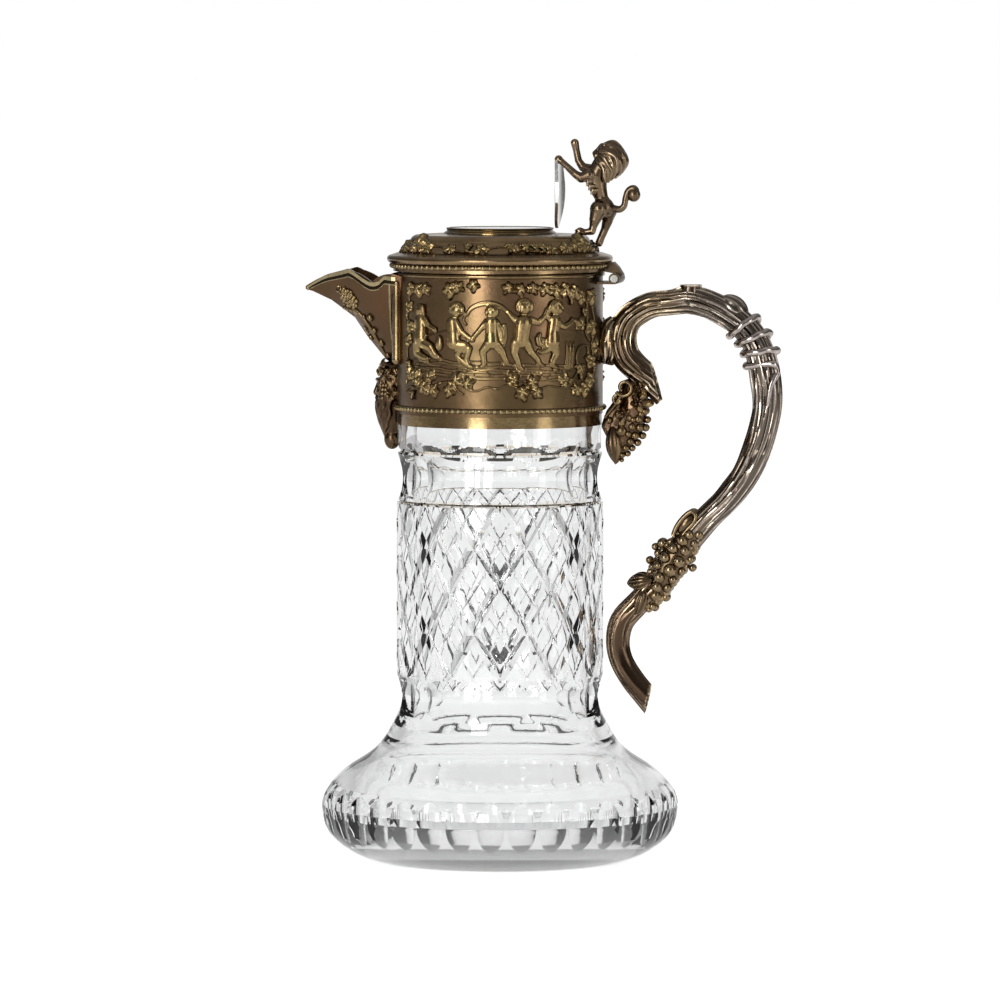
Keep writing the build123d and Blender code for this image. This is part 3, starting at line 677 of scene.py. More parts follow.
def bead_row(name, body, radius, height, count, size):
    bm = bmesh.new()
    for n in range(count):
        angle = 2 * math.pi * n / count
        ball(bm, on_round(radius, angle, height), size, around=8, rings=6)
    finish_piece(name, bm, body, bead_gilt, crease=60)


bead_row("collar_beads", "jug", COLLAR + 0.45, 181.4, 106, 1.08)
bead_row("lid_beads", "lid", 43.15, 238.0, 99, 1.08)


# Relief, modelled flat as (distance round the wall, height above it, height up) and bent round later
def modelled(bm, parts, squash=0.75, sink=0.3):
    """Rounded limbs from tables of (round, up, radius)."""
    for part in parts:
        limb(bm, [(s, (r - 0.6) * 0.3 + sink, z, r * 1.15) for s, z, r in part], (1, squash, 1), around=12)


def flat_leaf(bm, s, z, length, lean, dome=0.3):
    way = math.radians(lean)
    leaf(bm, lying((s, -0.2, z), (math.cos(way), 0, math.sin(way)), (0, 1, 0)), length, dome=dome,
         columns=25, rings=4)


def flat_stem(bm, points, radius=0.5, lift=0.15, around=8):
    rod(bm, [(s, lift, z, radius) for s, z in points], around=around, gap=0.6)


def flat_grapes(bm, s, z, width, height, size=0.85):
    """Bunch of grapes narrowing downwards."""
    rows = max(2, round(height / (size * 1.5)))
    for row in range(rows):
        span = width * (1 - row / rows) * 0.5
        count = max(1, round(2 * span / (size * 1.6)))
        for n in range(count):
            off = (n - (count - 1) / 2) * size * 1.7
            ball(bm, (s + off, 0.35 + 0.5 * (1 - abs(off) / (width * 0.6)), z - row * size * 1.5), size,
                 around=8, rings=6)


def child_head(bm, s, z, size, look):
    """Round child's head with plain features and curly hair."""
    ball(bm, (s, 0.5, z), size * 0.80, (0.95, 0.8, 1.05), around=14, rings=10)
    ball(bm, (s + look * size * 0.62, 0.5 + size * 0.5, z - size * 0.12), size * 0.15)
    for side in (-1, 1):
        ball(bm, (s + look * size * 0.4 + side * size * 0.3, 0.45 + size * 0.36, z - size * 0.36),
             size * 0.24)
    for n in range(11):
        turn = math.radians(-25 + 23 * n)
        ball(bm, (s + size * 0.82 * math.cos(turn), 0.8, z + size * 0.12 + size * 0.78 * math.sin(turn)),
             size * 0.27, (1, 1.1, 1), around=8, rings=6)
    for n in range(6):
        turn = math.radians(12 + 30 * n)
        ball(bm, (s + size * 0.46 * math.cos(turn), 1.5, z + size * 0.3 + size * 0.42 * math.sin(turn)),
             size * 0.26, around=8, rings=6)


dancers = {
    "heads": [(-17.4, 221.2, 3.3, 0.5), (-3.2, 220.4, 2.7, -0.3), (9.6, 222.4, 3.6, -0.15),
              (23.0, 221.9, 3.3, 0.6)],
    "crouching": [
        [(-19.3, 216.6, 2.0), (-18.8, 212.2, 2.3), (-18.6, 208.4, 2.5)],
        [(-18.0, 216.8, 1.5), (-15.4, 212.8, 1.15), (-11.6, 210.0, 0.95), (-11.0, 209.8, 1.1)],
        [(-18.6, 207.9, 2.2), (-13.9, 207.5, 1.7), (-17.2, 204.2, 1.15), (-16.6, 202.6, 1.0),
         (-13.4, 200.0, 1.0)],
        [(-12.4, 206.4, 1.4), (-13.4, 202.2, 1.05), (-12.4, 199.4, 0.95), (-10.9, 198.9, 0.8)],
    ],
    "turned": [
        [(-3.4, 216.8, 2.3), (-3.3, 212.6, 2.2), (-3.1, 209.0, 2.6)],
        [(-5.2, 217.0, 1.3), (-8.4, 213.3, 1.0), (-11.0, 210.3, 0.95)],
        [(-1.6, 216.8, 1.3), (0.6, 213.4, 1.0), (0.9, 209.6, 0.9)],
        [(-4.7, 207.8, 1.9), (-6.9, 205.4, 1.35), (-6.4, 202.4, 1.1), (-6.2, 199.9, 0.95),
         (-7.5, 199.2, 0.8)],
        [(-1.5, 207.8, 1.9), (0.8, 205.2, 1.35), (1.7, 202.8, 1.1), (2.8, 200.6, 0.9), (4.0, 200.0, 0.8)],
    ],
    "facing": [
        [(9.1, 216.2, 3.0), (8.6, 212.4, 2.8), (8.2, 209.4, 2.7)],
        [(6.2, 217.6, 1.5), (4.4, 219.2, 1.1), (3.4, 220.6, 0.9)],
        [(12.4, 217.4, 1.5), (15.6, 216.5, 1.15), (18.2, 219.0, 0.95), (19.2, 221.6, 0.9)],
        [(6.2, 208.6, 1.9), (5.6, 204.8, 1.4), (7.1, 201.2, 1.1), (7.8, 198.8, 0.95), (8.9, 198.0, 0.8)],
        [(10.4, 208.6, 1.9), (12.2, 205.2, 1.4), (14.9, 202.2, 1.1), (16.2, 200.0, 0.95), (17.4, 199.6, 0.8)],
    ],
    "leaving": [
        [(22.4, 217.2, 2.2), (21.6, 212.8, 2.1), (21.4, 208.6, 2.6)],
        [(23.8, 216.2, 1.4), (27.4, 214.6, 1.1), (30.4, 216.2, 0.95), (31.6, 217.6, 0.85)],
        [(20.8, 217.2, 1.2), (19.2, 219.2, 0.9), (19.6, 221.4, 0.8)],
        [(22.0, 207.4, 2.1), (23.2, 204.2, 1.45), (21.4, 201.2, 1.1), (21.8, 199.2, 0.95),
         (23.3, 198.8, 0.8)],
        [(20.6, 207.2, 1.8), (18.6, 205.6, 1.3), (16.6, 204.9, 1.0), (15.6, 205.4, 0.8)],
    ],
    "drapery": [
        [(16.0, 211.8, 0.9), (15.2, 210.2, 1.1), (15.6, 208.4, 1.2), (17.2, 207.6, 1.0), (17.4, 209.8, 0.9)],
        [(1.8, 215.8, 0.7), (2.3, 211.4, 0.8), (1.6, 207.6, 0.7)],
    ],
}
player = [
    [(-35.0, 217.2, 2.0), (-34.6, 213.4, 2.2), (-34.8, 209.8, 2.5)],
    [(-37.0, 217.4, 1.3), (-38.6, 213.8, 1.1), (-35.8, 211.4, 0.9), (-32.6, 211.2, 0.9)],
    [(-33.0, 217.6, 1.3), (-30.4, 214.8, 1.0), (-27.4, 213.6, 0.9)],
    [(-34.6, 208.4, 2.1), (-30.0, 206.6, 1.7), (-27.4, 203.4, 1.3), (-25.6, 202.6, 1.0)],
    [(-36.8, 208.0, 2.0), (-37.4, 204.0, 1.5), (-33.4, 202.4, 1.2), (-31.6, 202.0, 1.0)],
]


def frieze(bm):
    """Dancing children with a scarf and a lute player, between vines."""
    arch = [(-13.3, 220.2), (-11.6, 222.6), (-8.8, 224.1), (-5.1, 224.8), (-1.8, 224.4), (0.9, 223.2),
            (3.0, 221.4)]
    for lift in (0.0, -1.15):
        flat_stem(bm, [(s, z + lift) for s, z in arch], 0.6, 0.35)
    flat_stem(bm, [(-13.3, 220.2), (-14.6, 217.6), (-13.2, 215.4)], 0.6, 0.3)
    flat_stem(bm, [(-34.0, 210.4), (-28.0, 211.9), (-21.8, 213.4)], 0.45, 0.5)
    ball(bm, (-25.4, 0.4, 208.2), 1.9, (0.95, 0.6, 1.75), around=16, rings=12)
    for s, z, size, look in dancers["heads"]:
        child_head(bm, s, z, size, look)
    for name in ("crouching", "turned", "facing", "leaving", "drapery"):
        modelled(bm, dancers[name])
    modelled(bm, player)
    ball(bm, (-35.3, 0.5, 221.0), 2.1, (0.9, 0.7, 1.1), around=14, rings=10)
    limb(bm, [(-36.8, 0.5, 219.6, 0.8), (-36.4, 0.7, 222.8, 0.9), (-33.9, 0.7, 222.6, 0.9),
              (-33.2, 0.5, 219.4, 0.7)])


def frieze_growth(bm):
    """Stump, climbing vines, ground and the garland below the figures."""
    wavy = random.Random(5)
    for k in range(7):
        z = 200.6 - 1.1 * k
        start = -41.5 + wavy.uniform(0, 5)
        end = 36.0 - wavy.uniform(0, 8)
        sag = [start + (end - start) * n / 14 for n in range(15)]
        flat_stem(bm, [(s, z - 0.04 * s + wavy.uniform(-0.4, 0.4)) for s in sag], 0.42, 0.02, around=6)
    for s, lean in ((29.0, -0.5), (30.4, 0.2), (31.8, 0.8)):
        limb(bm, [(s - 0.6, 0, 199.2, 1.0), (s, 0.2, 204.4, 0.9), (s + lean, 0.1, 208.6, 0.5)], (1, 0.7, 1))
    flat_stem(bm, [(-46.5, 188.6), (-42.0, 190.6), (-38.0, 190.0), (-33.0, 192.8), (-29.0, 191.4),
                   (-24.0, 192.8), (-19.6, 192.8), (-17.0, 189.6), (-14.4, 188.0)], 0.55, 0.2)
    flat_stem(bm, [(-19.6, 192.8), (-15.6, 191.9), (-12.2, 189.9), (-9.0, 189.6), (-5.3, 191.0),
                   (-0.6, 190.6), (3.0, 192.0), (6.6, 191.0), (11.8, 191.2), (16.0, 190.4), (20.0, 191.4),
                   (25.0, 190.6), (29.5, 191.6), (32.4, 194.4), (35.4, 197.6)], 0.55, 0.2)
    flat_stem(bm, [(35.4, 197.6), (33.8, 202.0), (35.6, 206.4), (40.2, 206.8), (41.4, 203.6), (39.0, 201.8)],
              0.6, 0.2)
    flat_stem(bm, [(33.0, 229.6), (37.6, 228.0), (40.4, 223.6), (40.8, 217.4), (39.8, 212.0), (42.6, 208.4)],
              0.6, 0.2)
    flat_stem(bm, [(46.4, 229.6), (44.8, 222.4), (46.8, 215.0), (44.6, 207.0), (46.6, 198.0), (44.0, 190.0)],
              0.6, 0.1)
    flat_stem(bm, [(-45.6, 230.0), (-43.6, 224.6), (-45.4, 218.0), (-43.4, 211.0), (-45.2, 204.4),
                   (-43.6, 197.6), (-46.0, 191.6)], 0.6, 0.1)
    for s, z, width, height in ((36.0, 199.0, 5.0, 6.6), (30.6, 227.6, 3.6, 4.6), (38.4, 221.4, 3.4, 4.4),
                                (-43.4, 200.4, 3.2, 4.6), (8.0, 190.6, 3.0, 3.0), (-40.6, 188.4, 3.0, 3.2)):
        flat_grapes(bm, s, z, width, height)


FRIEZE_LEAVES = [
    (-41.6, 229.6, 4.6, -110), (-36.6, 229.2, 4.8, -80), (-32.6, 229.6, 4.4, -60), (-20.6, 229.6, 5.6, -90),
    (-17.4, 230.6, 4.4, -30), (-10.6, 231.6, 4.6, -90), (3.4, 230.4, 4.4, -120), (8.0, 229.8, 4.6, -80),
    (13.0, 230.2, 4.4, -60), (18.4, 230.0, 4.6, -110), (22.8, 229.4, 5.2, -70), (27.6, 229.6, 5.0, -100),
    (32.2, 228.6, 5.0, -50), (36.2, 225.6, 4.8, -20), (43.2, 226.4, 5.2, -80), (36.4, 214.8, 4.8, 150),
    (43.4, 214.2, 5.4, -60), (42.8, 200.4, 5.2, -40), (42.6, 193.6, 5.2, -100), (46.6, 205.6, 4.8, 60),
    (-43.8, 221.6, 4.4, 40), (-43.0, 214.6, 4.4, -40), (-44.2, 208.0, 4.4, 60), (-41.8, 194.8, 4.8, 100),
    (-38.0, 193.4, 5.2, 70), (-33.6, 190.4, 4.8, -60), (-30.4, 194.2, 4.6, 60), (-28.2, 189.6, 4.4, -80),
    (-20.6, 190.0, 4.8, -110), (-17.6, 193.6, 4.6, 60), (-13.2, 192.2, 4.4, 20), (5.2, 193.6, 4.8, 110),
    (8.6, 189.2, 5.4, -70), (12.6, 192.8, 4.8, 30), (14.6, 188.8, 4.4, -40), (27.2, 193.2, 4.6, 80),
    (38.8, 190.0, 5.0, -90), (33.0, 189.6, 4.4, -50),
]


def mark_lift(bm, full=1.5):
    """Keep how far each place stands up, for the finish, which paints raised parts bright (part rubbed wear,
    part painted highlight) and the low parts just above the ground dark (painted shade).
    """
    layer = bm.verts.layers.float.new("lifted")
    for vert in bm.verts:
        vert[layer] = min(max(vert.co.y / full, 0.0), 1.0)


def bent_round(bm, radius, mirrored):
    """Bend flat relief round the collar, its back just inside the wall."""
    mark_lift(bm)
    for vert in bm.verts:
        s, lift, z = vert.co
        angle = FACING + s / radius
        vert.co = on_round(radius + max(lift, -0.35), -angle if mirrored else angle, z)
    if mirrored:
        bmesh.ops.reverse_faces(bm, faces=bm.faces[:])


def collar_frieze():
    """One relief, bent round the side towards the viewer and, mirrored, round the far side."""
    bm = bmesh.new()
    frieze(bm)
    frieze_growth(bm)
    for s, z, length, lean in FRIEZE_LEAVES:
        flat_leaf(bm, s, z + 0.3, length * 1.55, lean)
    closed(bm)
    for vert in bm.verts:
        vert.co.y = max(vert.co.y, -1.0)
    near = melted(bm, 0.32, 1)
    far = near.copy()
    for name, relief, mirrored in (("frieze_near", near, False), ("frieze_far", far, True)):
        bent_round(relief, COLLAR, mirrored)
        finish_piece(name, relief, "jug", relief_gilt, crease=180)


collar_frieze()

# Lid: outline of the dome from above the rim to the crown, as (radius, height)
DOME = [(41.1, 243.1), (38.9, 243.7), (37.5, 245.4), (35.9, 247.8), (35.1, 249.2), (33.1, 250.2),
        (26.0, 250.6)]


def dome_tables():
    marks = [0.0]
    for a, b in zip(DOME, DOME[1:]):
        marks.append(marks[-1] + math.dist(a, b))
    return [(m, r) for m, (r, z) in zip(marks, DOME)], [(m, z) for m, (r, z) in zip(marks, DOME)]


def lid_vine():
    """Vine with leaves and small bunches that runs round the slope of the dome."""
    bm = bmesh.new()
    round_length = 2 * math.pi * 37.5
    spray = [
        (-38.5, 5.2, 8.0, 100), (-33.0, 4.2, 6.0, 30), (-20.0, 4.4, 5.0, 200), (-7.6, 4.6, 5.6, -70),
        (6.0, 4.4, 4.6, 60), (21.0, 4.2, 5.2, -60), (28.0, 4.0, 6.4, 10), (35.0, 4.6, 6.0, 80),
    ]
    part = round_length / 3
    for turn in range(3):
        start = turn * part
        flat_stem(bm, [(start - 36 + 6 * n, 4.2 + 1.3 * math.sin(n * 1.25)) for n in range(14)], 0.5, 0.15)
        for s, t, length, lean in spray:
            flat_leaf(bm, start + s, t, length * 1.35, lean, dome=0.26)
        for s in (4.0, 10.5, 14.5, 17.5, -13.0):
            flat_grapes(bm, start + s, 6.2, 3.6, 4.4, 0.8)
    closed(bm)
    relief = melted(bm, 0.3, 2)
    mark_lift(relief, 1.4)
    reach, rise = dome_tables()
    for vert in relief.verts:
        s, lift, t = vert.co
        r, z = along(reach, t), along(rise, t)
        ahead = Vector((along(reach, t + 0.2) - along(reach, t - 0.2),
                        along(rise, t + 0.2) - along(rise, t - 0.2)))
        ahead.normalize()
        lift = max(lift, -0.4)
        vert.co = on_round(r + lift * ahead.y, FACING + s / 37.5, z - lift * ahead.x)
    finish_piece("lid_vine", relief, "lid", relief_gilt, crease=180)


lid_vine()


# Handle
def handle_line():
    line = [
        (25.6, -47.2, 5.3), (20.9, -42.6, 5.5), (20.4, -41.6, 5.4), (14.2, -37.0, 5.6), (9.6, -32.0, 6.0),
        (8.0, -26.4, 6.2), (8.8, -20.6, 5.9), (11.8, -15.8, 5.5), (19.4, -11.4, 5.0), (27.8, -10.2, 5.0),
        (35.6, -9.2, 5.8), (44.0, -11.6, 5.8), (52.6, -16.4, 5.7), (58.9, -22.0, 5.7), (63.0, -29.0, 5.8),
        (65.6, -40.2, 6.1), (66.4, -50.0, 5.9), (64.7, -60.2, 5.8), (61.8, -69.4, 5.7),
        (57.2, -79.0, 5.5), (50.1, -88.6, 5.3), (42.0, -96.8, 5.1), (33.4, -107.0, 5.0),
        (23.4, -120.0, 4.9), (14.6, -130.2, 4.8), (8.2, -137.6, 4.7), (6.4, -145.6, 4.6),
        (8.0, -153.6, 4.5), (12.6, -161.4, 4.6), (18.6, -168.6, 4.7), (26.6, -178.4, 4.8),
    ]
    return [back(out, 0, rise, radius) for out, rise, radius in line]


def bark(angle, distance):
    """Long grooves between swelling strands, fewer of them towards the hook."""
    x, y = math.cos(angle), math.sin(angle)
    split = noise.noise(Vector((x * 2.0, y * 2.0, distance * 0.014)))
    strand = noise.noise(Vector((x * 4.4 + 7, y * 4.4, distance * 0.02)))
    line = noise.noise(Vector((x * 9.0, y * 9.0 + 3, distance * 0.03)))
    swell = noise.noise(Vector((x * 1.0, y * 1.0, distance * 0.05 + 3)))
    deep = max(0.0, 1 - abs(split) * 6)
    thin = max(0.0, 1 - abs(strand) * 4)
    fine = max(0.0, 1 - abs(line) * 3)
    smooth = 0.15 + 0.85 * soft_step((200 - distance) / 40)
    return 0.25 - 0.5 * deep - smooth * (0.36 * thin + 0.26 * fine) + 0.4 * swell


def sawn(bm, place, normal, reach):
    """Saw a branch end off along a slanting plane."""
    near = {vert for vert in bm.verts if (vert.co - Vector(place)).length < reach}
    part = list(near) + [edge for edge in bm.edges if near.issuperset(edge.verts)]
    part += [face for face in bm.faces if near.issuperset(face.verts)]
    bmesh.ops.bisect_plane(bm, geom=part, dist=0.0001, plane_co=place, plane_no=normal, clear_outer=True)


def vine_branch():
    bm = bmesh.new()
    rod(bm, handle_line(), around=72, gap=0.62, skin=bark)
    merge(bm, 0.002)
    sawn(bm, (63.8, 0, 188.4), (0.966, 0, 0.259), 12)
    sawn(bm, (59.6, 0, 64.6), (0.975, 0, -0.223), 19)
    root = [(2.0, -35.0, 2.0), (3.0, -31.0, 5.2), (3.2, -25.5, 5.6), (3.6, -20.6, 4.8), (5.4, -17.0, 2.6)]
    rod(bm, [back(x, 0, z, r) for x, z, r in root], around=48, gap=0.6, skin=bark)
    knot = [(34.0, -10.5, 6.2), (34.8, -8.4, 5.6), (35.4, -5.6, 4.7), (35.5, -3.7, 4.4), (35.5, -3.1, 4.6)]
    rod(bm, [back(x, 0, z, r) for x, z, r in knot], around=40, gap=0.4,
        skin=lambda angle, mark: 0.3 * bark(angle, mark))
    keep_outside(bm, COLLAR - SUNK)
    closed(bm)
    ends = [face for face in bm.faces if len(face.verts) > 30]
    bmesh.ops.inset_individual(bm, faces=ends, thickness=0.8, depth=-0.7)
    for face in ends:
        bmesh.ops.poke(bm, faces=[face])
    finish_piece("vine_branch", bm, "jug", branch_gilt, ["handle_branch"], crease=40)


def wrapped_bud():
    """Ribbed bud that swells on the top of the branch before the tendril."""
    bm = bmesh.new()
    made = ball(bm, (0, 0, 0), 1.0, around=64, rings=32)
    for vert in made:
        angle = math.atan2(vert.co.y, vert.co.x)
        rib = 1 + 0.07 * abs(math.cos(angle * 6)) * math.hypot(vert.co.x, vert.co.y)
        vert.co = Vector((vert.co.z * 6.8, vert.co.y * rib * 4.7, vert.co.x * rib * 5.0))
    spot = Matrix.Translation(back(52.4, 0, -12.6)) @ Matrix.Rotation(math.radians(35), 4, "Y")
    bmesh.ops.transform(bm, matrix=spot, verts=made)
    face_out(bm)
    finish_piece("wrapped_bud", bm, "jug", branch_gilt, crease=60)


def tendril():
    line = framed(smooth_line(handle_line(), 0.5))
    start = min(line, key=lambda each: (each[0] - Vector(back(55.5, 0, -18.4))).length)[2]
    coil = []

    def station(mark, turn, lift, radius):
        place, thick, _, ahead, *_ = min(line, key=lambda each: abs(each[2] - mark))
        outer = ahead.cross(Vector((0, 1, 0)))
        way = -outer * math.cos(turn) - Vector((0, 1, 0)) * math.sin(turn)
        spot = place + way * (thick + lift)
        coil.append((spot.x, spot.y, spot.z, radius))

    for n in range(63):
        turn = math.radians(18 * n - 10)
        station(start + 6.1 * turn / (2 * math.pi), turn, 0.95, 1.5)
    for ahead_by, turn, radius in ((0.9, 128, 1.5), (2.6, 140, 1.45), (4.8, 138, 1.35), (7.0, 122, 1.25),
                                   (9.6, 108, 1.1), (13.0, 100, 0.95), (17.0, 96, 0.6)):
        station(start + 6.1 * 3.05 + ahead_by, math.radians(turn), 0.8, radius)
    bm = bmesh.new()
    rod(bm, coil, around=14, gap=0.7)
    closed(bm)
    finish_piece("tendril", bm, "jug", tendril_gilt, ["handle_tendril"], crease=60)


BUNCH = [(79.5, 133.5, 4.6), (76.0, 129.0, 5.6), (71.6, 123.4, 6.6), (67.2, 116.8, 7.0), (63.4, 109.8, 5.4),
         (59.8, 103.6, 3.2), (57.2, 99.6, 1.2)]
NEAR_GRAPES = [
    (65.6, 127.3, 1.85), (70.3, 125.6, 1.9), (74.1, 128.7, 1.95), (76.7, 131.1, 1.7), (80.4, 131.1, 1.65),
    (75.0, 124.7, 1.7), (63.9, 123.4, 1.35), (67.2, 121.9, 1.85), (72.6, 120.4, 2.1), (69.1, 117.0, 2.2),
    (64.2, 118.6, 1.45), (73.5, 116.4, 1.5), (64.9, 114.1, 1.95), (70.0, 113.0, 1.6), (63.8, 110.2, 1.95),
    (67.8, 109.7, 1.65), (63.1, 106.6, 1.95), (60.4, 120.6, 1.3), (77.0, 121.1, 1.4), (77.6, 117.6, 1.3),
    (67.0, 105.8, 1.5), (59.6, 102.6, 1.3), (62.6, 101.6, 1.3), (78.6, 127.6, 1.4), (62.6, 126.0, 1.2),
]


def grape_bunch():
    """Grapes of many sizes pressed into a swelling core round the branch."""
    bm = bmesh.new()
    line = rod(bm, [(x, 0, z, r * 0.95) for x, z, r in BUNCH], around=32, gap=0.9)
    closed(bm)
    core = set(bm.verts)
    for x, z, size in NEAR_GRAPES:
        place, radius, *_ = min(line, key=lambda each: math.hypot(each[0].x - x, each[0].z - z))
        off = math.hypot(place.x - x, place.z - z)
        deep = math.sqrt(max(radius**2 - off**2, 1.0))
        for side in (-1, 1):
            ball(bm, (x, side * (deep + 0.1), z), size * 1.22, around=16, rings=12)
    total = line[-1][2]
    for edge in (-1, 1):
        for n in range(17):
            share = 0.04 + 0.9 * n / 16
            place, radius, _, ahead, across, up = min(line, key=lambda each: abs(each[2] - total * share))
            size = (1.5 + 0.5 * random.random()) * (0.8 + 0.2 * math.sin(math.pi * share))
            for side in (-1, 1):
                ball(bm, place + up * edge * radius * 0.8 + across * side * (1.4 + 0.8 * random.random()),
                     size, around=12, rings=8)
    # The core is marked low, so the finish paints it dark between the grapes (painted shade). The grapes are
    # marked higher and painted a little brighter (part rubbed wear, part painted highlight).
    layer = bm.verts.layers.float.new("lifted")
    for vert in bm.verts:
        vert[layer] = 0.05 if vert in core else 0.4
    finish_piece("grape_bunch", bm, "jug", grape_gilt, ["handle_grapes"], crease=60)


def ribbed_leaf(bm, place, length, width, dome, ribs=4):
    """Folded oval leaf with ribs that run from its stalk to its tip."""
    def spot(column, row):
        share = (column + 0.2) / 20.4
        off = row / 8 - 1
        half = math.sin(math.pi * share) ** 0.7
        rib = 0.16 * abs(math.cos(math.pi * ribs * off / 2))
        height = length * dome * half * (math.sqrt(max(1 - off * off, 0.0)) + rib)
        return place(length * (share - 0.5), width * length * 0.5 * half * off, height)

    woven(bm, 20, 16, spot)


def bunch_leaves():
    """Rolled sheath above the bunch and ribbed leaves beside and below it."""
    bm = bmesh.new()
    for side in (-1, 1):
        up = Vector((0, side, 0))
        sheath = [(70.2, 130.6), (71.6, 134.2), (74.4, 138.0), (77.4, 140.2), (79.2, 139.0), (78.4, 136.0),
                  (75.6, 132.8), (73.4, 130.0)]
        rod(bm, [(x, side * 4.6, z, 1.0) for x, z in sheath], around=12, gap=0.5)
        ball(bm, (75.2, side * 2.8, 135.4), 3.0, (1.7, 0.75, 0.95), around=24, rings=14,
             turn=Matrix.Rotation(math.radians(-50), 3, "Y"))
        ribbed_leaf(bm, lying((56.6, side * 3.9, 112.2), (-1, 0, -0.1), up + Vector((-0.35, 0, 0.2))), 11.0,
                    0.62, 0.2)
        ribbed_leaf(bm, lying((57.2, side * 3.4, 104.4), (-0.3, 0, -1), up + Vector((0.15, 0, 0))), 12.0, 0.5,
                    0.2, 3)
    closed(bm)
    finish_piece("bunch_leaves", bm, "jug", grape_gilt, ["handle_leaves"], crease=50)


SPRAY = [(12.4, -45.0, 4.8), (12.8, -52.0, 5.8), (11.8, -59.0, 5.4), (8.8, -65.6, 4.2), (6.4, -71.0, 2.2),
         (5.5, -74.4, 0.8)]
SPRAY_GRAPES = [
    (17.4, -53.6, 1.4), (18.3, -57.0, 1.3), (17.6, -60.2, 1.4), (15.0, -56.6, 1.5), (15.4, -60.0, 1.5),
    (16.4, -63.4, 1.3), (13.6, -63.2, 1.5), (14.4, -66.2, 1.3), (11.6, -65.6, 1.4), (12.2, -68.4, 1.2),
    (9.8, -68.2, 1.3), (10.4, -70.6, 1.1), (8.2, -71.2, 1.1), (12.6, -59.6, 1.4), (17.2, -50.4, 1.2),
    (11.0, -62.6, 1.3), (8.0, -73.2, 0.8), (16.0, -54.6, 1.1), (13.0, -56.8, 1.1),
]


def curl(x, z, y, radius, start, turns, wire):
    """Stations of a flat spiral tendril."""
    count = round(12 * turns)
    made = []
    for n in range(count + 1):
        reach = radius * (1 - 0.6 * n / count)
        angle = start + n * math.pi / 6
        made.append((COLLAR + x + reach * math.cos(angle), y, COLLAR_TOP + z + reach * math.sin(angle), wire))
    return made


def root_spray():
    """Leaves, curling tendrils and grapes that hang from the stub to the collar's foot."""
    bm = bmesh.new()
    limb(bm, [back(x, 0, z, r) for x, z, r in SPRAY], (1, 0.85, 1))
    limb(bm, [back(9.4, 0, -47.4, 2.6), back(3.6, 0, -54.6, 2.2), back(1.6, 0, -59.6, 2.0),
              back(4.4, 0, -64.0, 2.4)], (1, 0.9, 1))
    limb(bm, [back(7.2, 0, -54.0, 3.2), back(4.6, 0, -59.0, 2.8), back(7.0, 0, -64.0, 3.6)], (1, 0.8, 1))
    core = melted(bm, 0.5)

    def skin_depth(x, z):
        over = []
        for (xa, za, ra), (xb, zb, rb) in zip(SPRAY, SPRAY[1:]):
            for n in range(6):
                t = n / 5
                r = ra + (rb - ra) * t
                off = math.hypot(x - xa - (xb - xa) * t, z - za - (zb - za) * t)
                over.append(r * r - off * off)
        return 0.85 * math.sqrt(max(max(over), 0.8))

    for x, z, r in SPRAY_GRAPES:
        for side in (-1, 1):
            ball(core, back(x, side * (skin_depth(x, z) - 0.1), z), r * 1.12, around=16, rings=12)
    for side in (-1, 1):
        up = Vector((0, side, 0))
        leaf(core, lying(back(15.0, side * (skin_depth(15.0, -49.4) + 0.2), -49.6), (1, 0, -0.25), up), 9.0,
             dome=0.22)
        leaf(core, lying(back(15.4, side * (skin_depth(15.4, -44.6) + 0.3), -44.4), (1, 0, 0.35), up), 7.0,
             dome=0.22)
        leaf(core, lying(back(9.6, side * (skin_depth(9.6, -54.4) + 0.3), -54.6), (-0.3, 0, -1), up), 8.0,
             dome=0.2)
        ribbed_leaf(core, lying(back(5.2, side * 1.6, -66.8), (0.12, 0, -1), up + Vector((-0.5, 0, 0))), 16.0,
                    0.42, 0.2, 2)
        ball(core, back(8.3, side * (skin_depth(8.3, -61.4) + 0.1), -61.4), 2.3, (1, 0.8, 1), around=18,
             rings=12)
        ball(core, back(3.2, side * 2.4, -57.2), 1.5, around=16, rings=10)
        ball(core, back(6.8, side * 4.0, -54.8), 1.5, (0.8, 1, 1.2), around=16, rings=10)
        rod(core, curl(9.6, -44.0, side * 5.9, 3.6, 3.6, 1.1, 0.75), around=10, gap=0.4)
        rod(core, curl(6.8, -49.0, side * 4.6, 2.4, 0.4, 0.9, 0.65), around=10, gap=0.4)
        rod(core, [back(8.8, side * 5.0, -46.2, 0.75), back(6.0, side * 4.2, -50.6, 0.75),
                   back(3.4, side * 2.8, -53.6, 0.75), back(1.6, side * 2.0, -56.0, 0.7)], around=10, gap=0.5)
    keep_outside(core, COLLAR - SUNK)
    closed(core)
    finish_piece("root_spray", core, "jug", casting_gilt, ["handle_vine_spray"], crease=60)


# Spout: stations of the beak as (distance out from the collar, half width, keel below the collar's top)
BEAK = [(-6.0, 16.5, -39.0), (0.0, 16.5, -37.0), (4.875, 14.9, -33.6), (12.75, 12.8, -24.0),
        (17.625, 11.5, -16.8), (27.0, 6.44, -9.9), (34.5, 2.3, -6.4), (37.5, 0.9, -5.6)]
BEAK_TOP = 13.9
BEAK_GRAPES = 34
GOLDEN_TURN = 2.39996
BEAK_EDGE = [(-1.6, 0.1), (1.5, 0.4), (3.0, 0.5), (4.4, -0.6), (5.4, -1.5), (7.6, -2.1), (9.6, -1.9),
             (12.0, -0.7), (14.4, 0.9), (16.6, 2.3), (18.4, 3.0), (20.4, 2.5), (24.0, 1.6), (28.5, 0.3),
             (33.0, -2.0), (36.9, -4.5)]


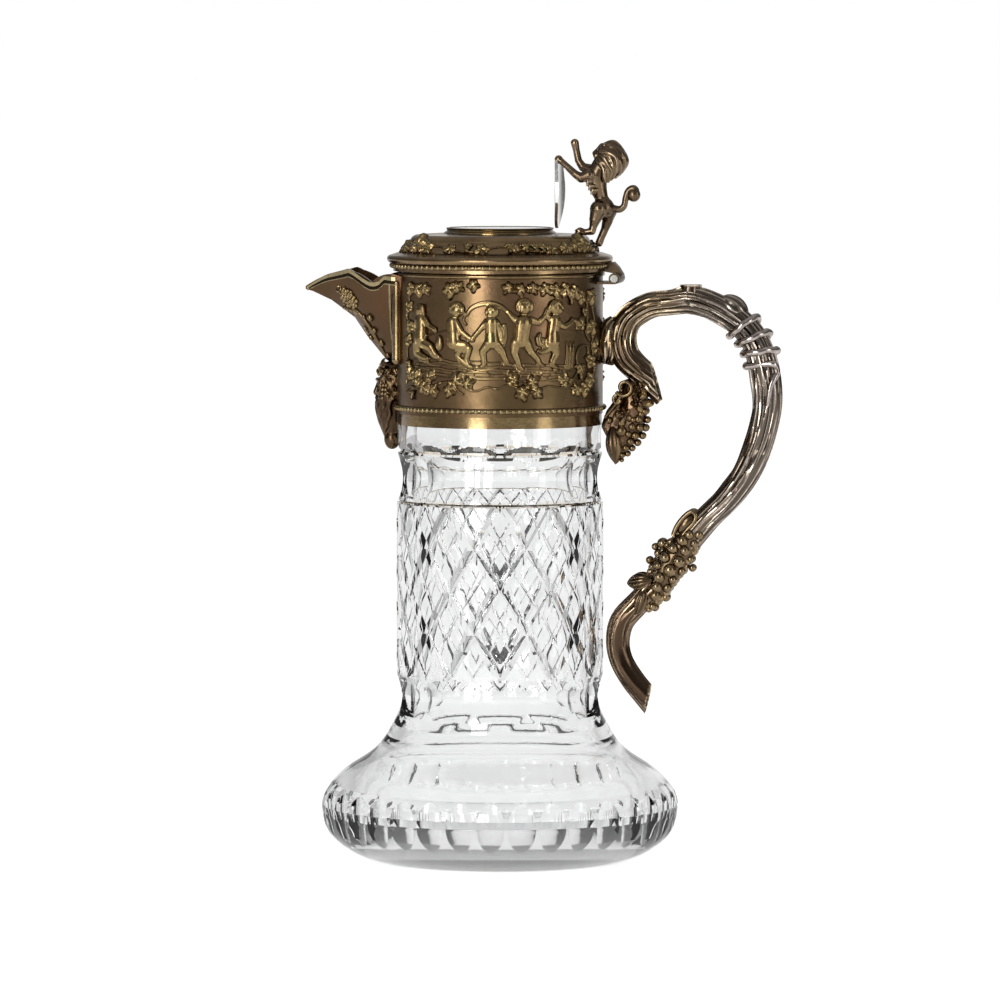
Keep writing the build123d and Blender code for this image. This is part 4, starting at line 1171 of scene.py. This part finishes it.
def flank(out, rise):
    """Half width of the beak at a place on its flank."""
    k = max(i for i in range(len(BEAK) - 1) if BEAK[i][0] <= out)
    share = (out - BEAK[k][0]) / (BEAK[k + 1][0] - BEAK[k][0])
    half, low = [BEAK[k][m] + (BEAK[k + 1][m] - BEAK[k][m]) * share for m in (1, 2)]
    rise = max(rise, low)
    y1, z1, y2, z2 = 0.7 * half, 0.3 * (BEAK_TOP - low), half, BEAK_TOP - low
    cross = 2 * (y1 * z2 - y2 * z1)
    a, b = y1 * y1 + z1 * z1, y2 * y2 + z2 * z2
    yc, zc = (a * z2 - b * z1) / cross, (y1 * b - y2 * a) / cross
    return yc + math.sqrt(max(yc * yc + zc * zc - (rise - low - zc) ** 2, 0.0))


def on_beak(out, rise, side, lift=0.0):
    return Vector(front(out, side * (flank(out, rise) + lift), rise))


def beak_edge():
    """Moulded band with a groove and a bead that borders the beak, and a bead beside its root."""
    section = [(0.0, -1.2), (0.0, 0.7), (0.25, 1.0), (1.7, 1.05), (2.0, 0.7), (2.1, 0.1), (2.8, 0.1),
               (2.95, 0.55), (3.25, 0.75), (3.55, 0.55), (3.65, -0.5), (1.8, -1.2)]
    start, end, steps = BEAK_EDGE[0][0], BEAK_EDGE[-1][0], 90
    marks = [start + (end - start) * n / steps for n in range(steps + 1)]

    def spot(column, row, side):
        down, proud = section[column % len(section)]
        tip = (row / steps) ** 4
        return on_beak(marks[row], along(BEAK_EDGE, marks[row]) - down * (1 - 0.55 * tip), side,
                       proud * (1 - 0.5 * tip))

    bm = bmesh.new()
    for side in (-1, 1):
        woven(bm, len(section), steps, lambda c, r: spot(c, r, side))
        rod(bm, [(*on_beak(0.9, -2.6 - 5.4 * n, side, 0.1), 0.55) for n in range(7)], around=10, gap=0.6)
    closed(bm)
    # Parts less than 0.3 mm proud of the flank, the groove among them, are marked low so the finish paints
    # them dark (painted shade). The proud band and bead are marked higher and painted brighter (part rubbed
    # wear, part painted highlight).
    layer = bm.verts.layers.float.new("lifted")
    for vert in bm.verts:
        out = -vert.co.x - COLLAR
        proud = abs(vert.co.y) - flank(min(max(out, BEAK[0][0] + 0.1), BEAK[-1][0] - 0.1),
                                       vert.co.z - COLLAR_TOP)
        vert[layer] = 0.05 if proud < 0.3 else 0.62
    finish_piece("beak_edge", bm, "jug", edge_gilt, ["spout_edge_moulding"], crease=35)


def beak_vines():
    """Bunch of grapes, stem and buds on each flank of the beak."""
    bm = bmesh.new()
    for side in (-1, 1):
        out_way = Vector((-0.35, side, -0.25)).normalized()
        for n in range(BEAK_GRAPES):
            reach = math.sqrt((n + 0.5) / BEAK_GRAPES)
            angle = n * GOLDEN_TURN
            a, b = reach * 2.9 * math.cos(angle), reach * 4.9 * math.sin(angle)
            out, rise = 19.0 + a * 0.75 + b * 0.6, -8.9 + a * -0.62 + b * 0.8
            ball(bm, on_beak(out, rise, side, 0.9 * (1 - reach**2)), 0.85 + 0.25 * random.random(), around=10,
                 rings=7)
        for out, rise, size, way in ((22.0, -5.8, 5.4, (-0.5, 0, 0.9)), (17.4, -12.6, 5.0, (0.4, 0, -1)),
                                     (11.4, -20.6, 4.6, (-0.4, 0, -1)), (20.2, -12.2, 4.2, (-0.9, 0, -0.5))):
            leaf(bm, lying(on_beak(out, rise, side, -0.1), way, out_way), size, dome=0.22, columns=25,
                 rings=4)
        stem = [(17.4, -12.8, 0.9), (14.2, -15.6, 0.8), (11.4, -19.0, 0.85), (8.9, -23.4, 0.9),
                (6.6, -28.0, 0.85), (4.3, -33.0, 0.7)]
        rod(bm, [(*on_beak(out, rise, side, 0.2), r) for out, rise, r in stem], around=12, gap=0.5)
        for out, rise, size, long in ((9.9, -16.5, 1.35, 1.3), (8.5, -21.6, 1.25, 1.2),
                                      (5.8, -26.6, 1.1, 1.6), (3.7, -31.8, 0.9, 1.7), (12.8, -16.2, 0.9, 1.2),
                                      (10.6, -24.6, 1.1, 1.3)):
            ball(bm, on_beak(out, rise, side, 0.3), size, (1, 1, long), around=16, rings=12,
                 turn=Matrix.Rotation(math.radians(-28), 3, "Y"))
    closed(bm)
    finish_piece("beak_vines", bm, "jug", casting_gilt, ["spout_vine_castings"], crease=60)


def bearded_mask():
    """Old wine god's mask with vine leaves in the hair and a long curling beard, below the beak."""
    middle = [(-68.0, 2.6, 1.0), (-63.8, 2.6, 2.4), (-57.0, 2.2, 5.2), (-48.0, 1.6, 6.8), (-40.0, 1.0, 6.4)]
    reach = [(z, off) for z, off, _ in middle]
    girth = [(z, r) for z, _, r in middle]

    def on_head(turn, z, radius, lift=0.2, side=1):
        r = along(girth, z) + lift
        middle_x = -(COLLAR + along(reach, z))
        return (middle_x - r * math.cos(turn), side * r * math.sin(turn), COLLAR_TOP + z, radius)

    bm = bmesh.new()
    limb(bm, [front(off, 0, z, r) for z, off, r in middle[1:]], around=24)
    ball(bm, front(4.6, 0, -43.6), 4.2, (0.8, 1, 1.1), around=20, rings=14)
    ball(bm, front(2.6, 0, -37.6), 4.0, (1, 1, 0.9), around=20, rings=14)
    ball(bm, front(2.5, 0, -65.4), 3.3, (1, 1, 1.28), around=20, rings=14)
    limb(bm, [front(8.0, 0, -43.2, 0.9), front(9.0, 0, -46.8, 1.25)])
    limb(bm, [front(7.9, -1.5, -50.8, 0.55), front(8.3, 0, -50.6, 0.6), front(7.9, 1.5, -50.8, 0.55)])
    for side in (-1, 1):
        limb(bm, [front(8.4, side * 0.6, -41.6, 0.9), front(7.2, side * 4.0, -41.6, 0.9)])
        ball(bm, front(7.2, side * 2.4, -43.4), 0.95)
        ball(bm, front(6.6, side * 3.2, -46.4), 1.9)
        limb(bm, [front(8.6, side * 0.8, -48.9, 0.85), front(7.2, side * 3.8, -50.4, 0.95),
                  front(5.8, side * 5.6, -49.4, 0.6)])
        for k in range(7):
            turn = math.radians(7 + 15 * k)
            top = -51.2 + 1.0 * k
            low = -66.6 + 1.1 * k
            lock = []
            for n in range(7):
                z = top + (low - top) * n / 6
                wave = math.radians(5) * math.sin(n * 1.9 + k * 2.1)
                lock.append(on_head(turn * (1 - 0.25 * n / 6) + wave, z, 1.15 - 0.1 * n, 0.35, side))
            rod(bm, lock, around=12, gap=0.5, side=(1, 0, 0))
        for k in range(5):
            turn = math.radians(48 + 15 * k)
            lock = []
            for n in range(6):
                wave = math.radians(7) * math.sin(n * 2.0 + k * 1.7)
                lock.append(on_head(turn + wave, -37.2 - 2.4 * n, 1.15 - 0.1 * n, 0.5, side))
            rod(bm, lock, around=12, gap=0.5, side=(1, 0, 0))
        for k in range(3):
            ball(bm, on_head(math.radians(12 + 26 * k), -38.2 - 0.6 * k, 0, 0.2, side)[:3], 1.4, around=12,
                 rings=8)
    face = melted(bm, 0.34, 1)
    for side in (-1, 1):
        leaf(face, lying(front(6.0, side * 3.4, -37.0), (0.1, side, -0.5), (-1, side * 0.4, 0.5)), 7.4,
             dome=0.22)
        leaf(face, lying(front(3.2, side * 6.6, -39.6), (0.2, side * 0.4, -1), (-0.5, side, 0.2)), 7.0,
             dome=0.22)
        leaf(face, lying(front(1.6, side * 7.2, -46.0), (0.1, side * 0.2, -1), (-0.4, side, 0.1)), 5.6,
             dome=0.22)
        for n in range(7):
            row, off = divmod(n, 2)
            ball(face, on_head(math.radians(62 + 10 * off), -43.6 - 1.7 * row, 0, 1.1, side)[:3], 0.85,
                 around=10, rings=7)
    leaf(face, lying(front(6.4, 0, -36.4), (0, 0, 1), (-1, 0, 0.4)), 6.4, dome=0.22)
    keep_outside(face, COLLAR - SUNK)
    closed(face)
    finish_piece("bearded_mask", face, "jug", casting_gilt, ["spout_mask"], crease=60)


# Thumbpiece
def mane(bm, spot):
    """Long locks that sweep from the face over the back of the neck."""
    rows = [
        [(19.6, 0.5, 35.2, 0.9), (23.6, 1.0, 36.0, 1.2), (27.8, 1.5, 32.8, 1.25), (29.0, 1.6, 28.2, 1.1),
         (26.8, 1.2, 23.6, 0.6)],
        [(18.8, 2.9, 33.0, 0.9), (22.2, 4.4, 33.2, 1.2), (25.8, 4.8, 30.4, 1.25), (26.6, 4.4, 26.2, 1.1),
         (24.8, 3.4, 22.2, 0.6)],
        [(17.8, 2.6, 29.8, 0.8), (18.8, 4.0, 28.0, 1.1), (20.4, 4.4, 25.6, 1.15), (21.2, 4.2, 22.6, 0.95),
         (20.8, 3.2, 19.8, 0.5)],
    ]
    ball(bm, spot(23.4, 0, 29.2, 0)[:3], 4.6, (1.0, 0.9, 1.3), around=24, rings=16)
    for side in (-1, 1):
        for n in range(10):
            share = n / 9 * 2
            low = min(int(share), 1)
            part = share - low
            lock = []
            for k in range(5):
                a, b = rows[low][k], rows[low + 1][k]
                dx, y, dz, r = [a[m] + (b[m] - a[m]) * part for m in range(4)]
                wave = 0.35 * math.sin(k * 2.2 + n * 1.9)
                lock.append(spot(dx + wave, side * (y + 0.25 * (n % 2)), dz + wave, r * 0.8))
            rod(bm, lock, around=10, gap=0.6)


LION_X = 21.7
LION_FEET = 250.8


def lion():
    """Lion that stands on its hind legs and holds the shield."""
    def spot(dx, y, dz, r):
        return (LION_X + dx, y, LION_FEET + dz, r)

    bm = bmesh.new()
    mane(bm, spot)
    closed(bm)
    limb(bm, [spot(19.4, 0, 28.0, 3.6), spot(17.0, 0, 22.8, 4.2), spot(17.8, 0, 17.8, 3.5),
              spot(19.1, 0, 14.2, 2.7), spot(20.0, 0, 10.2, 4.3)], around=24)
    limb(bm, [spot(20.2, 0, 32.4, 3.2), spot(17.8, 0, 31.2, 1.9), spot(16.9, 0, 31.0, 1.3)], around=20)
    limb(bm, [spot(19.4, 0, 34.6, 1.4), spot(17.6, 0, 33.2, 0.9), spot(16.1, 0, 31.9, 0.8)], around=14)
    limb(bm, [spot(18.6, 0, 29.4, 1.6), spot(16.9, 0, 29.2, 0.8)], around=14)
    for side in (-1, 1):
        ball(bm, spot(18.0, side * 1.5, 33.5, 0)[:3], 0.75)
        ball(bm, spot(17.0, side * 0.9, 30.9, 0)[:3], 1.0)
        ball(bm, spot(20.6, side * 2.7, 35.0, 0)[:3], 1.0)
    limb(bm, [spot(14.4, -2.6, 23.2, 2.7), spot(11.4, -3.2, 22.1, 2.0), spot(9.0, -3.2, 23.6, 1.6),
              spot(5.8, -2.2, 26.4, 1.35), spot(3.4, -1.2, 28.4, 1.3), spot(2.0, -0.7, 29.4, 1.7)], around=14)
    limb(bm, [spot(15.0, 2.8, 25.0, 2.4), spot(11.2, 3.4, 26.2, 1.8), spot(9.4, 3.6, 28.8, 1.5),
              spot(8.5, 3.6, 33.2, 1.4), spot(7.9, 3.6, 35.9, 1.7)], around=14)
    limb(bm, [spot(18.4, -2.4, 9.6, 3.7), spot(16.9, -3.0, 5.6, 2.4), spot(16.2, -3.2, 2.8, 1.6),
              spot(15.8, -3.3, 0.9, 1.5), spot(13.0, -3.3, 0.5, 1.25), spot(10.9, -3.3, 0.8, 1.7)], around=14)
    limb(bm, [spot(21.6, 2.2, 8.8, 3.5), spot(21.2, 2.8, 5.0, 2.2), spot(20.1, 3.0, 1.6, 1.6),
              spot(18.7, 3.1, -1.6, 1.5), spot(17.8, 3.1, -3.9, 1.6)], around=14)
    tail = [(23.8, 9.8, 1.6), (26.6, 9.6, 1.4), (28.2, 11.0, 1.3), (28.8, 14.2, 1.25), (29.9, 17.0, 1.3),
            (32.0, 17.9, 1.5), (33.0, 16.6, 1.6)]
    rod(bm, [spot(dx, 0, dz, r) for dx, dz, r in tail], around=14, gap=0.5)
    closed(bm)
    ball(bm, spot(32.0, 0, 15.4, 0)[:3], 2.5, (1.1, 0.9, 1.15), around=16, rings=12)
    for n in range(12):
        row, off = divmod(n, 3)
        tuft = [spot(13.4 + row * 0.9 + off * 0.7, -4.2 + off * 0.5, 22.4 - row * 1.7, 0.75),
                spot(12.8 + row * 0.9 + off * 0.7, -4.4 + off * 0.5, 20.8 - row * 1.7, 0.4)]
        limb(bm, tuft, around=8)
    for dx, dz in ((10.0, 0.2), (10.2, 1.4)):
        limb(bm, [spot(dx, -4.4, dz, 0.5), spot(dx - 0.9, -3.6, dz - 0.2, 0.5)], around=8)
    figure = melted(bm, 0.3, 1)
    finish_piece("lion", figure, "lid", lion_gilt, ["lion_figure"], crease=60)


def spun(bm, profile, steps=120):
    """Solid of revolution about the jug's axis from (radius, height) places, on the axis or a closed ring."""
    closing = profile if profile[0][0] == 0 else profile + profile[:1]
    woven(bm, steps, len(closing) - 1,
          lambda c, r: on_round(closing[r][0], 2 * math.pi * (c % steps) / steps, closing[r][1]))


def lid_crown():
    """Turned moulding on the crown and the bare silver plate that fills it."""
    bm = bmesh.new()
    spun(bm, [(22.4, 250.5), (22.4, 251.0), (21.9, 251.4), (21.3, 251.7), (21.1, 252.2), (21.4, 252.5),
              (21.5, 252.8), (21.2, 253.0), (20.6, 253.0), (20.4, 252.6), (20.4, 250.3)])
    merge(bm, 0.002)
    face_out(bm)
    finish_piece("crown_moulding", bm, "lid", moulding_gilt, ["lid_boss_ring"], crease=50)
    bm = bmesh.new()
    spun(bm, [(0, 252.95), (14.0, 252.9), (19.6, 252.8), (20.4, 252.6), (20.4, 251.4), (0, 251.4)])
    merge(bm, 0.002)
    face_out(bm)
    finish_piece("crown_plate", bm, "lid", silver, ["lid_plaque"], crease=40)


lid_crown()
vine_branch()
wrapped_bud()
tendril()
grape_bunch()
bunch_leaves()
root_spray()
beak_edge()
beak_vines()
bearded_mask()
lion()


# Nodes kept as built
finishes = {
    "neck_cement": plaster,
    "hinge_pin": steel,
    "shield": silver,
    "collar_shell": sheet_gilt,
    "lid_shell": lid_gilt,
    "spout_beak": beak_gilt,
    "hinge_fixed_leaf": hinge_gilt,
    "hinge_lid_leaf": hinge_gilt,
}
for name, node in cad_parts.items():
    if name != "glass_body":
        node.data.materials.clear()
        node.data.materials.append(finishes.get(name, moulding_gilt))


# Studio
def studio_world():
    """White paper behind; a dim room in front and at the sides, which the metal mirrors."""
    world = bpy.data.worlds.new("pale_studio")
    bpy.context.scene.world = world
    world.use_nodes = True
    nodes, links = world.node_tree.nodes, world.node_tree.links
    nodes.clear()
    facing = nodes.new("ShaderNodeTexCoord").outputs["Generated"]
    split = nodes.new("ShaderNodeSeparateXYZ")
    links.new(facing, split.inputs[0])

    def shade(way, start, end, dim, bright):
        node = nodes.new("ShaderNodeMapRange")
        for socket, value in zip(("From Min", "From Max", "To Min", "To Max"), (start, end, dim, bright)):
            node.inputs[socket].default_value = value
        links.new(split.outputs[way], node.inputs["Value"])
        return node.outputs["Result"]

    def room(*levels):
        total = levels[0]
        for level in levels[1:]:
            node = nodes.new("ShaderNodeMath")
            links.new(total, node.inputs[0])
            links.new(level, node.inputs[1])
            total = node.outputs[0]
        node = nodes.new("ShaderNodeBackground")
        links.new(total, node.inputs["Strength"])
        return node.outputs[0]

    def choose(by, first, second):
        node = nodes.new("ShaderNodeMixShader")
        links.new(by, node.inputs["Fac"])
        links.new(first, node.inputs[1])
        links.new(second, node.inputs[2])
        return node.outputs[0]

    path = nodes.new("ShaderNodeLightPath").outputs
    through_glass = room(shade("Y", -0.55, 0.80, 0.30, 0.76), shade("Y", 0.80, 0.97, 0.0, 0.44))
    mirrored = room(shade("Y", 0.88, 0.985, 0.13, 1.0), shade("Z", 0.15, 0.95, 0.0, 0.45))
    paper = nodes.new("ShaderNodeBackground").outputs[0]
    paper.node.inputs["Color"].default_value = (1, 1, 1, 1)
    seen = choose(path["Is Glossy Ray"], through_glass, mirrored)
    seen = choose(path["Is Transmission Ray"], seen, through_glass)
    seen = choose(path["Is Camera Ray"], seen, paper)
    out = nodes.new("ShaderNodeOutputWorld")
    links.new(seen, out.inputs["Surface"])


BOX_WIDTH = 0.7
BOX_HEIGHT = 1.3
BOX_AIM = Vector((0, 0, 0.16))


def soft_box(name, place, power):
    data = bpy.data.lights.new(name, "AREA")
    data.shape = "RECTANGLE"
    data.size = BOX_WIDTH
    data.size_y = BOX_HEIGHT
    data.energy = power
    lamp = bpy.data.objects.new(name, data)
    lamp.location = place
    lamp.rotation_euler = (BOX_AIM - Vector(place)).to_track_quat("-Z", "Y").to_euler()
    bpy.context.scene.collection.objects.link(lamp)


def pale_floor():
    made = Finish("pale_floor")
    made.set(Roughness=0.9, Emission_Color=(1, 1, 1, 1))
    plain_view = made.nodes.new("ShaderNodeLightPath").outputs["Is Camera Ray"]
    made.link(made.grey(plain_view, (0.0, 0.5), (1.0, 0.72)), made.shader.inputs["Emission Strength"])
    made.link(made.ramp(made.noise(2.0), (0.0, (0.86, 0.86, 0.86)), (1.0, (0.9, 0.9, 0.9))),
              made.shader.inputs["Base Color"])
    bm = bmesh.new()
    bmesh.ops.create_grid(bm, x_segments=2, y_segments=2, size=6)
    mesh = bpy.data.meshes.new("floor")
    bm.to_mesh(mesh)
    bm.free()
    mesh.materials.append(made.material)
    floor = bpy.data.objects.new("floor", mesh)
    bpy.context.scene.collection.objects.link(floor)
    floor.location = (0, 0, -0.0003)


CAMERA_LENS = 276
CAMERA_REACH = 3.060
CAMERA_HEIGHT = 0.337
AIM_HEIGHT = 0.144
VIEW_TURN = math.radians(8)


def photo_camera():
    data = bpy.data.cameras.new("photo_camera")
    data.lens = CAMERA_LENS
    data.sensor_width = 36
    data.clip_end = 50
    camera = bpy.data.objects.new("photo_camera", data)
    camera.location = (math.sin(VIEW_TURN) * CAMERA_REACH, -math.cos(VIEW_TURN) * CAMERA_REACH, CAMERA_HEIGHT)
    camera.rotation_euler = (Vector((0, 0, AIM_HEIGHT)) - camera.location).to_track_quat("-Z", "Y").to_euler()
    bpy.context.scene.collection.objects.link(camera)
    bpy.context.scene.camera = camera


studio_world()
soft_box("left_box", (-0.62, -2.0, 0.6), 22)
soft_box("right_box", (2.06, -1.24, 0.6), 8)
pale_floor()
photo_camera()
bpy.context.scene.view_settings.view_transform = "Standard"
